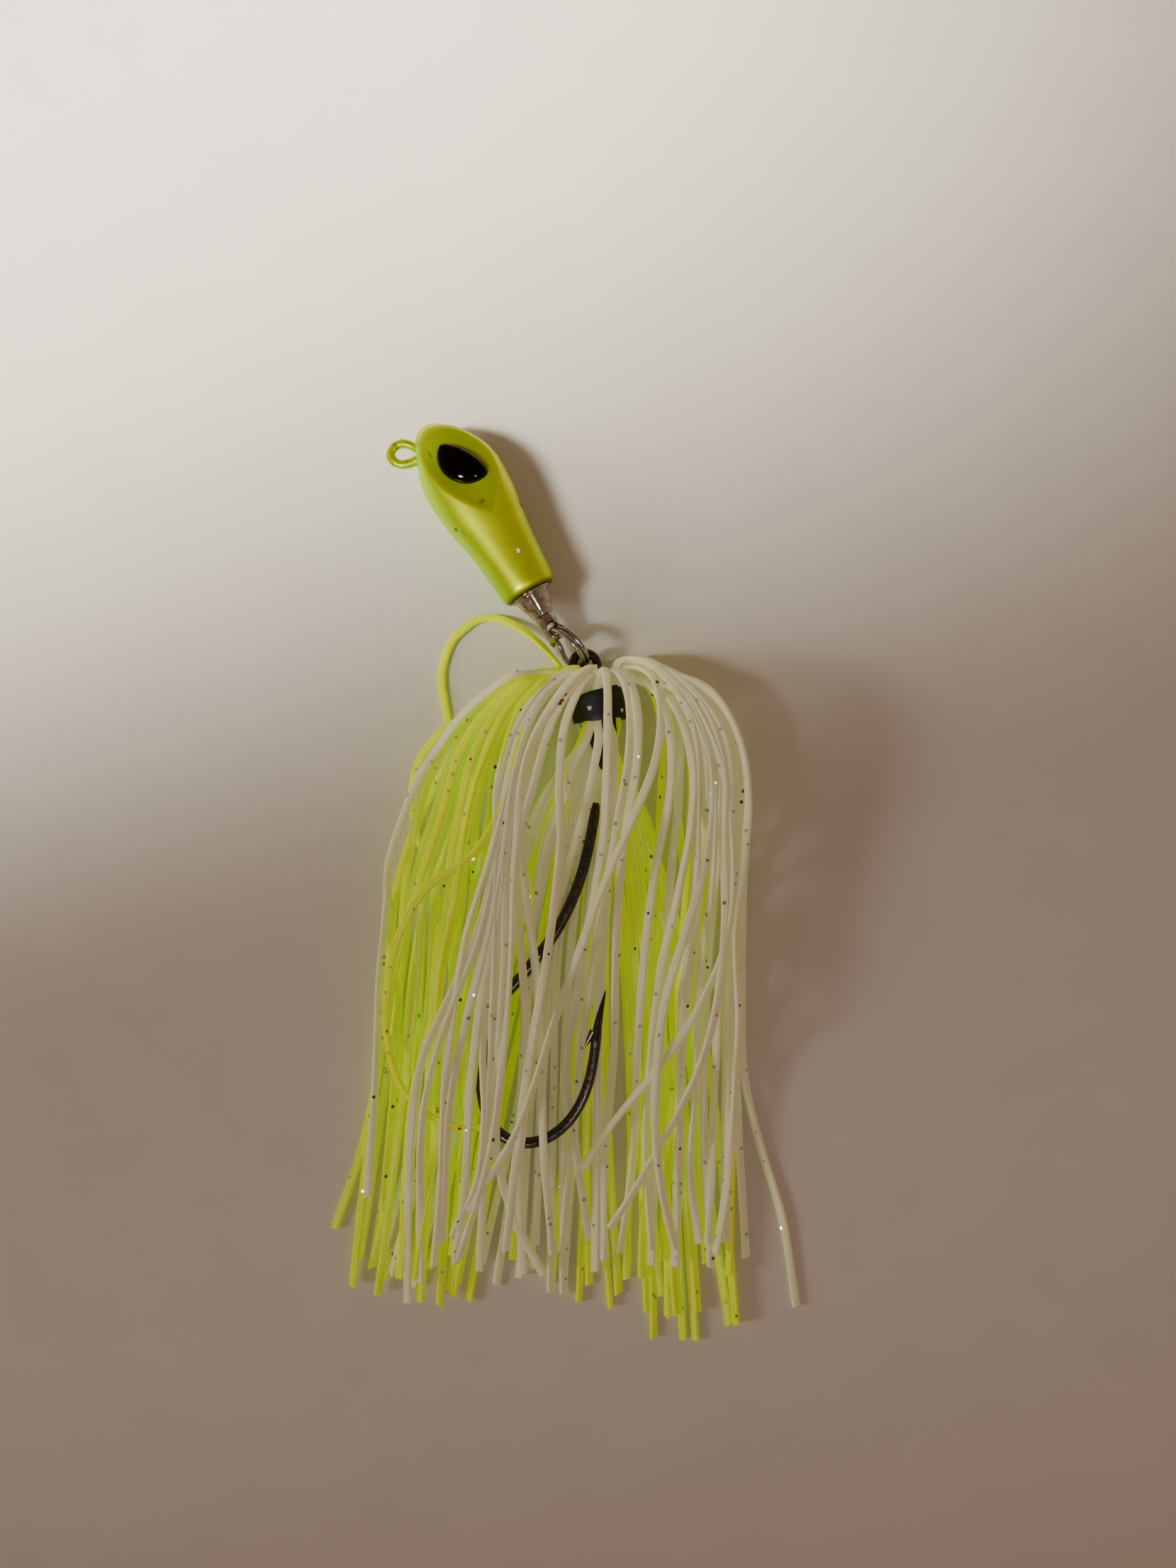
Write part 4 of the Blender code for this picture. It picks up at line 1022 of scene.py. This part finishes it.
def laid_on(pile, line, free, ceiling):
    """The line lifted onto the pile past its first free millimetres, bridging the hollows it is too stiff to fill."""
    travelled = distance_along(line[:, :2])
    support = pile.height(footprint(line, STRAND_WIDTH)).max(axis=1) + STRAND_THICKNESS / 2 + 0.02
    ease = smoothstep(travelled, free, free + 2.5)
    resting = np.where(ease > 0, line[:, 2] + (np.maximum(support, line[:, 2]) - line[:, 2]) * ease, line[:, 2])
    gaps = travelled[:, None] - travelled[None, :]
    near = np.abs(gaps) < BRIDGE_REACH
    bridged = (resting[None, :] - 0.5 * STIFFNESS * gaps ** 2 * near - FAR_BELOW * ~near).max(axis=1)
    limit = np.interp(line[:, 1], *zip(*ceiling))
    pressed = np.where(bridged > limit, limit + (bridged - limit) * GIVE, bridged)
    mixed = resting + (pressed - resting) * ease
    result = line.copy()
    result[:, 2] = np.maximum(blurred(mixed, 2.2), STRAND_THICKNESS / 2 + PAPER_GAP)
    result[:3, 2] = line[:3, 2]
    return result


def collar_exit(angle, radius, forward):
    """Where a strand comes out of the collar: two points along the shank, and the way its flat side runs."""
    a = math.radians(angle)
    spoke = np.array([math.cos(a), 0.0, math.sin(a)])
    x, inner_y, edge_y = FRONT_EXIT if forward else REAR_EXIT
    middle = np.array([x, 0.0, AXIS_Z])
    start = middle + spoke * radius + (0.0, inner_y, 0.0)
    edge = middle + spoke * (radius + 0.05) + (0.0, edge_y, 0.0)
    return [tuple(start), tuple(edge)], np.array([-math.sin(a), 0.0, math.cos(a)])


def lane_route(lanes, place):
    """The exit angle and route at a fractional place between two lanes."""
    first = min(int(place), len(lanes) - 2)
    share = place - first
    angle = lanes[first][0] + (lanes[first + 1][0] - lanes[first][0]) * share
    a, b = (np.array(lanes[i][1]) for i in (first, first + 1))
    return angle, a + (b - a) * share


class Strand:
    """One half of a skirt strand: its line, and the direction across its flat side at each point."""

    def __init__(self, draw, routes, angle, radius, forward, free, roll, ceiling):
        points, flat = collar_exit(angle, radius, forward)
        self.draw = draw
        self.choices = [curve_through(points + [tuple(p) for p in route], STEP) for route in routes]
        self.flat = flat
        self.free = free
        self.roll = roll
        self.ceiling = ceiling

    def settle(self, pile):
        """Keep the choice that has the least beneath it, and lay it there."""
        burdens = [pile.height(footprint(line[len(line) // 5:], STRAND_WIDTH)).max(axis=1).mean()
                   for line in self.choices]
        line = self.choices[int(np.argmin(burdens))]
        self.line = resampled(laid_on(pile, line, self.free, self.ceiling), STEP)
        spread = footprint(self.line, STRAND_WIDTH, 9)
        on_pile = np.arange(len(self.line)) * STEP > self.free
        top = np.repeat(self.line[:, 2] + STRAND_THICKNESS / 2, 9).reshape(-1, 9)
        pile.raise_to(spread[on_pile], top[on_pile])

    def sides(self):
        """Across-the-flat directions: turned with the collar at first, then level with a slow twist."""
        along = tangents(self.line)
        level = unit(np.cross(along, UP) + 1e-6)
        travelled = np.arange(len(self.line)) * STEP
        if level[min(20, len(level) - 1)] @ self.flat < 0:
            level = -level
        blend = smoothstep(travelled, *LEVEL_TURN)[:, None]
        side = self.flat * (1 - blend) + level * blend
        side = unit(side - (side * along).sum(axis=1)[:, None] * along)
        lift = np.cross(side, along)
        wave = np.cos(travelled * self.draw["turns"] + self.draw["phase"])
        twist = self.roll * smoothstep(travelled, *TWIST_GROWTH) * wave
        return (side * np.cos(twist)[:, None] + lift * np.sin(twist)[:, None],
                lift * np.cos(twist)[:, None] - side * np.sin(twist)[:, None])

    def rows(self):
        """Rings of points along the strand, cut a little aslant at its tip and kept off the paper."""
        side, lift = self.sides()
        outline = oval(STRAND_WIDTH, STRAND_THICKNESS, STRAND_SIDES)
        travelled = np.arange(len(self.line)) * STEP
        uneven = 1.0 + 0.03 * np.sin(travelled * 0.7 + self.draw["phase"] * 3)
        rows = self.line[:, None] + (outline[:, 0] * uneven[:, None])[..., None] * side[:, None] \
            + outline[None, :, 1:] * lift[:, None]
        along = tangents(self.line)[-1]
        rows[-1] += (outline[:, 0] * self.draw["slant"])[:, None] * along
        rows[..., 2] = np.maximum(rows[..., 2], PAPER_GAP)
        return rows


def random_draw():
    return {"turns": rng.uniform(0.05, 0.14), "phase": rng.uniform(0, 6.28), "slant": rng.uniform(-0.5, 0.5)}


def swayed(route, sway, reach):
    """The route, wandering a little off its lane and ending a little early or late."""
    route = route.copy()
    share = np.linspace(0, 1, len(route))
    wander = np.cumsum([rng.gauss(0, 1) for _ in route]) / math.sqrt(len(route))
    route[:, 0] += wander * sway * share ** 1.2
    route[:, 1] += rng.gauss(0, 0.25) * (share < 0.3)
    route[-1] = route[-2] + (route[-1] - route[-2]) * reach
    return route


def fan(forward, span, reach, sway, radii, lift, roll):
    """Strands spread over part of the lanes; span is the first and last place, and how many."""
    front, rear = (FRONT_LANES, FRONT_CEILING, FRONT_FREE), (REAR_LANES, REAR_CEILING, REAR_FREE)
    lanes, ceiling, free = front if forward else rear
    strands = []
    for i, place in enumerate(spaced(*span)):
        draw = random_draw()
        angle, route = lane_route(lanes, min(max(place, 0.0), len(lanes) - 1.001))
        layer = i % len(radii)
        route[:, 2] = np.maximum(route[:, 2] * lift - 0.5 * (len(radii) - 1 - layer), 0.3)
        length = rng.uniform(*reach)
        routes = [swayed(route, sway, length) for _ in range(CHOICES)]
        strands.append(Strand(draw, routes, angle + rng.uniform(-4, 4), radii[layer], forward, free,
                              roll * rng.uniform(0.5, 2.2), ceiling))
    return strands


def arched(places, angle):
    """Heights for a route given in plan: up over the collar's edge, then down towards the paper."""
    plan = np.array(places, float)
    travelled = distance_along(plan)
    rise = max(math.sin(math.radians(angle)), 0.0)
    peak = 4.1 + 4.4 * rise
    height = 0.3 + (peak - 0.3) * (1 - smoothstep(travelled, 6.0, 52.0)) - 1.1 * rise * (travelled < 1.0)
    return np.column_stack([plan, height])


def single(lane, radius=2.55, free=FRONT_FREE, roll=None, ceiling=FRONT_CEILING, forward=True):
    """One strand on a route of its own; one given in plan gets its arch worked out."""
    angle, route = lane
    if len(route[0]) == 2:
        route = arched(route, angle)
    roll = rng.uniform(0.2, 1.2) if roll is None else roll
    return Strand(random_draw(), [route], angle, radius, forward, free, roll, ceiling)


def on_sleeve(lane):
    return single(lane, 2.5, 3.0, 0.4, SLEEVE_CEILING, False)


def spaced(start, end, count, jitter=0.4):
    """Evenly spaced places, each moved a little, in a shuffled order."""
    gap = (end - start) / max(count - 1, 1)
    places = [start + gap * i + rng.uniform(-jitter, jitter) * gap for i in range(count)]
    rng.shuffle(places)
    return places


def six_sided(centre, side, along, size, turn=0.0, stretch=0.0):
    """The corners of a small six-sided flake."""
    return np.array([centre + (math.cos(a) * side + math.sin(a) * along) * size * (1 + stretch * math.sin(2 * a))
                     for a in turn + np.arange(6) * math.pi / 3])


def flakes_on(strand):
    """Small flakes sunk in the strand's upper face: (corner points, up, kind) for each."""
    side, lift = strand.sides()
    lift = np.where((lift[:, 2] < 0)[:, None], -lift, lift)
    result = []
    spot = strand.draw["phase"]
    while True:
        spot += -math.log(1.0 - rng.random()) * FLAKE_GAP
        index = int((spot + 3.0) / STEP)
        if index >= len(strand.line) - 2:
            return result
        across = rng.uniform(-FLAKE_REACH, FLAKE_REACH)
        turn = rng.uniform(0, 1)
        size = rng.uniform(0.17, 0.25)
        kind = rng.random()
        edge_drop = 0.035 * (abs(across) / FLAKE_REACH) ** 2
        centre = strand.line[index] + side[index] * across + lift[index] * (STRAND_THICKNESS / 2 - edge_drop)
        corners = six_sided(centre, side[index], tangents(strand.line)[index], size, turn)
        result.append((corners, lift[index], 1 if kind < 0.2 else 2 if kind < 0.36 else 3))


def rust_specks(strands):
    """Red-brown specks stuck to whichever strand lies uppermost at each place."""
    result = []
    for x, y, size in RUST_PLACES:
        near = []
        for k, strand in enumerate(strands):
            away = [math.hypot(px - x, py - y) for px, py, _ in strand.line]
            i = min(range(len(away)), key=away.__getitem__)
            if away[i] < 0.5:
                near.append((strand.line[i, 2], k, i))
        if near:
            _, k, i = max(near)
            side, lift = (v[i] for v in strands[k].sides())
            lift = lift if lift[2] > 0 else -lift
            centre = strands[k].line[i] + lift * STRAND_THICKNESS / 2
            corners = six_sided(centre, side, tangents(strands[k].line)[i], size, stretch=0.25)
            result.append((corners, lift, len(FLAKES)))
    return result


def tuft_object(name, strands, color):
    """One piece from a tuft's strands, with the flakes moulded into them."""
    points, faces, kinds = [], [], []

    def add(rings, kind):
        start = sum(len(p) for p in points)
        ring_faces = ring_grid(rings)
        points.append(np.concatenate(rings))
        faces.extend(tuple(start + v for v in face) for face in ring_faces)
        kinds.extend([kind] * len(ring_faces))

    for strand in strands:
        add(strand.rows(), 0)
        specks = rust_specks(strands) if name == "skirt_over_left" and strand is strands[-1] else []
        for corners, up, kind in flakes_on(strand) + specks:
            add([np.maximum(corners + up * rise, (-99.0, -99.0, PAPER_GAP)) for rise in (-0.05, 0.012)], kind)
    piece = mesh_object(name, np.concatenate(points), faces, MATS[color], 50.0)
    for flake_name in FLAKES:
        piece.data.materials.append(MATS[flake_name])
    piece.data.polygons.foreach_set("material_index", kinds)
    cad_kind = "strand" if name in ("skirt_loop", "skirt_far_left", "skirt_far_right") else "tuft"
    finish_piece(piece, "hook_and_skirt", f"{color}_silicone", name.replace("skirt", f"skirt_{cad_kind}"))


def skirt_order():
    """The skirt's tufts in the order they lie, as (name, colour, strands), and where the collar and hook come."""
    yield "skirt_rear_left", "chartreuse", fan(False, (0.0, 0.8, 6), (0.85, 1.1), 2.6, LOW_FIRST, 1.0, 0.6)
    yield ("skirt_rear_middle", "chartreuse",
           fan(False, (1.7, 2.5, 7), (0.8, 1.08), 2.4, LOW_FIRST, 1.0, 0.6) + [on_sleeve(SLEEVE_CHARTREUSE)])
    yield "skirt_rear_right", "chartreuse", fan(False, (2.8, 3.9, 9), (1.0, 1.22), 2.6, LOW_FIRST, 1.0, 0.6)
    yield "skirt_rear_mid_left", "white", fan(False, (0.0, 2.0, 13), (0.8, 1.05), 3.0, HIGH_FIRST, 1.4, 0.6)
    yield "skirt_loop", "chartreuse", [single(LOOP)]
    yield "collar", None, None
    through = [single(lane, ceiling=THROUGH_CEILING) for lane in OVER_TOP]
    yield "skirt_over_top", "white", [on_sleeve(lane) for lane in OVER_SLEEVE] + through
    yield "hook", None, None
    yield "skirt_front_right", "chartreuse", fan(True, (6.3, 7.5, 5), (0.9, 1.1), 2.0, (2.2,), 0.25, 0.5)
    yield ("skirt_front_far_left", "chartreuse",
           [single(LEFT_EDGE), single(LEFT_ARC)] + fan(True, (0.3, 0.95, 5), (0.8, 1.12), 2.0, LOW_FIRST, 0.7, 0.5))
    curl = single(CURL)
    yield ("skirt_front_left", "chartreuse",
           fan(True, (0.9, 2.4, 10), (0.8, 1.08), 3.2, HIGH_FIRST, 0.9, 0.5) + [curl])
    yield "skirt_far_left", "white", [single(FAR_LEFT)]
    yield "skirt_far_right", "white", [single(FAR_RIGHT)]
    yield "skirt_front_far_right", "white", fan(True, (6.7, 7.9, 8), (0.85, 1.05), 1.6, LOW_FIRST, 0.7, 0.4)
    yield "skirt_over_right", "white", [single(lane, 2.4) for lane in OVER_RIGHT]
    yield "skirt_over_left", "white", [single(lane, 2.3) for lane in OVER_LEFT + [CROSSING]]


def add_hook(pile):
    """The hook joins the pile, and the strands after this lie over it."""
    line = hook_line(0.2)
    top = line[:, 2] + hook_radii(line)
    pile.raise_to(footprint(line, 1.2), np.repeat(top, 7).reshape(-1, 7))


def add_collar(pile):
    """The collar joins the pile."""
    line = shank_between(*COLLAR_SPAN, 0.2)
    lean = np.linspace(-1, 1, 33)
    across = line[:, None, :2] + lean[None, :, None] * np.array([COLLAR_RADII[1], 0.0])
    pile.raise_to(across, AXIS_Z + COLLAR_RADII[1] * np.broadcast_to(np.sqrt(1 - lean ** 2), across.shape[:2]))


def build_skirt():
    pile = Pile()
    for name, color, strands in skirt_order():
        if name == "collar":
            add_collar(pile)
        elif name == "hook":
            add_hook(pile)
        else:
            for strand in strands:
                strand.settle(pile)
            tuft_object(name, strands, color)


# ---------------------------------------------------------------- floor, light and camera

FLOOR_REACH = 900.0
CAMERA_PLACE = (2.75, 12.4, 145.0)
LENS_MM = 27.5


def build_floor():
    points = [(x, y, 0.0) for y in (-FLOOR_REACH, FLOOR_REACH) for x in (-FLOOR_REACH, FLOOR_REACH)]
    mesh_object("paper_floor", points, [(0, 1, 3, 2)], paper())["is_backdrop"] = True


def soft_light(name, place, target, size, power, color):
    data = bpy.data.lights.new(name, "AREA")
    data.shape = "RECTANGLE"
    data.size, data.size_y = (s * MM for s in size)
    data.energy = power
    data.color = color
    lamp = add_object(name, data)
    lamp.location = Vector(place) * MM
    aim = Vector(target) - Vector(place)
    lamp.rotation_euler = aim.to_track_quat("-Z", "Y").to_euler()
    return lamp


def build_lights():
    """A broad window to the left that favours the top of the paper, its glints, and a dim warm room."""
    for name, place, target, size, power, color, spread in (
        ("window", (-290, 50, 280), (-71, 135, 0), (179, 179), 0.42, (1.0, 0.93, 0.77), 20),
        ("window_foot", (-330, -30, 130), (-8, 4, 0), (170, 120), 0.017, (1.0, 0.95, 0.84), 18),
    ):
        lamp = soft_light(name, place, target, size, power, color)
        lamp.data.spread = math.radians(spread)
        lamp.visible_glossy = False
    for name, place, size, power in (("glint", (-150, -215, 420), 90, 1.5), ("glint_low", (130, -210, 420), 40, 0.25)):
        lamp = soft_light(name, place, (-10, 40, 0), (size * 0.7, size), power, (1.0, 0.97, 0.9))
        lamp.visible_diffuse = False
    world = bpy.data.worlds.new("room")
    world.use_nodes = True
    nodes, links = world.node_tree.nodes, world.node_tree.links
    split = nodes.new("ShaderNodeSeparateXYZ")
    fade = nodes.new("ShaderNodeValToRGB")
    links.new(nodes.new("ShaderNodeTexCoord").outputs["Generated"], split.inputs["Vector"])
    links.new(split.outputs["Z"], fade.inputs["Fac"])
    for element, shade in zip(fade.color_ramp.elements, (1.0, 0.3)):
        element.color = (shade, 0.66 * shade, 0.48 * shade, 1.0)
    links.new(fade.outputs["Color"], nodes["Background"].inputs["Color"])
    nodes["Background"].inputs["Strength"].default_value = 0.5
    bpy.context.scene.world = world


def build_camera():
    """Straight down over the lure, as a phone is held about 15 cm above it."""
    data = bpy.data.cameras.new("camera")
    data.sensor_fit = "VERTICAL"
    data.sensor_height = 36.0
    data.lens = LENS_MM
    data.clip_start = 0.01
    camera = add_object("camera", data)
    camera.location = Vector(CAMERA_PLACE) * MM
    bpy.context.scene.camera = camera


build_camera()
build_floor()
build_lights()
build_head_body()
build_eyes()
build_line_tie()
build_barrel()
build_stud()
build_balls()
build_split_ring()
build_hook()
build_sleeve()
build_collar()
build_skirt()

({name: [list(map(float, corner)) for corner in box]
           for name, box in (("cad", cad_box), ("visual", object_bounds()))})
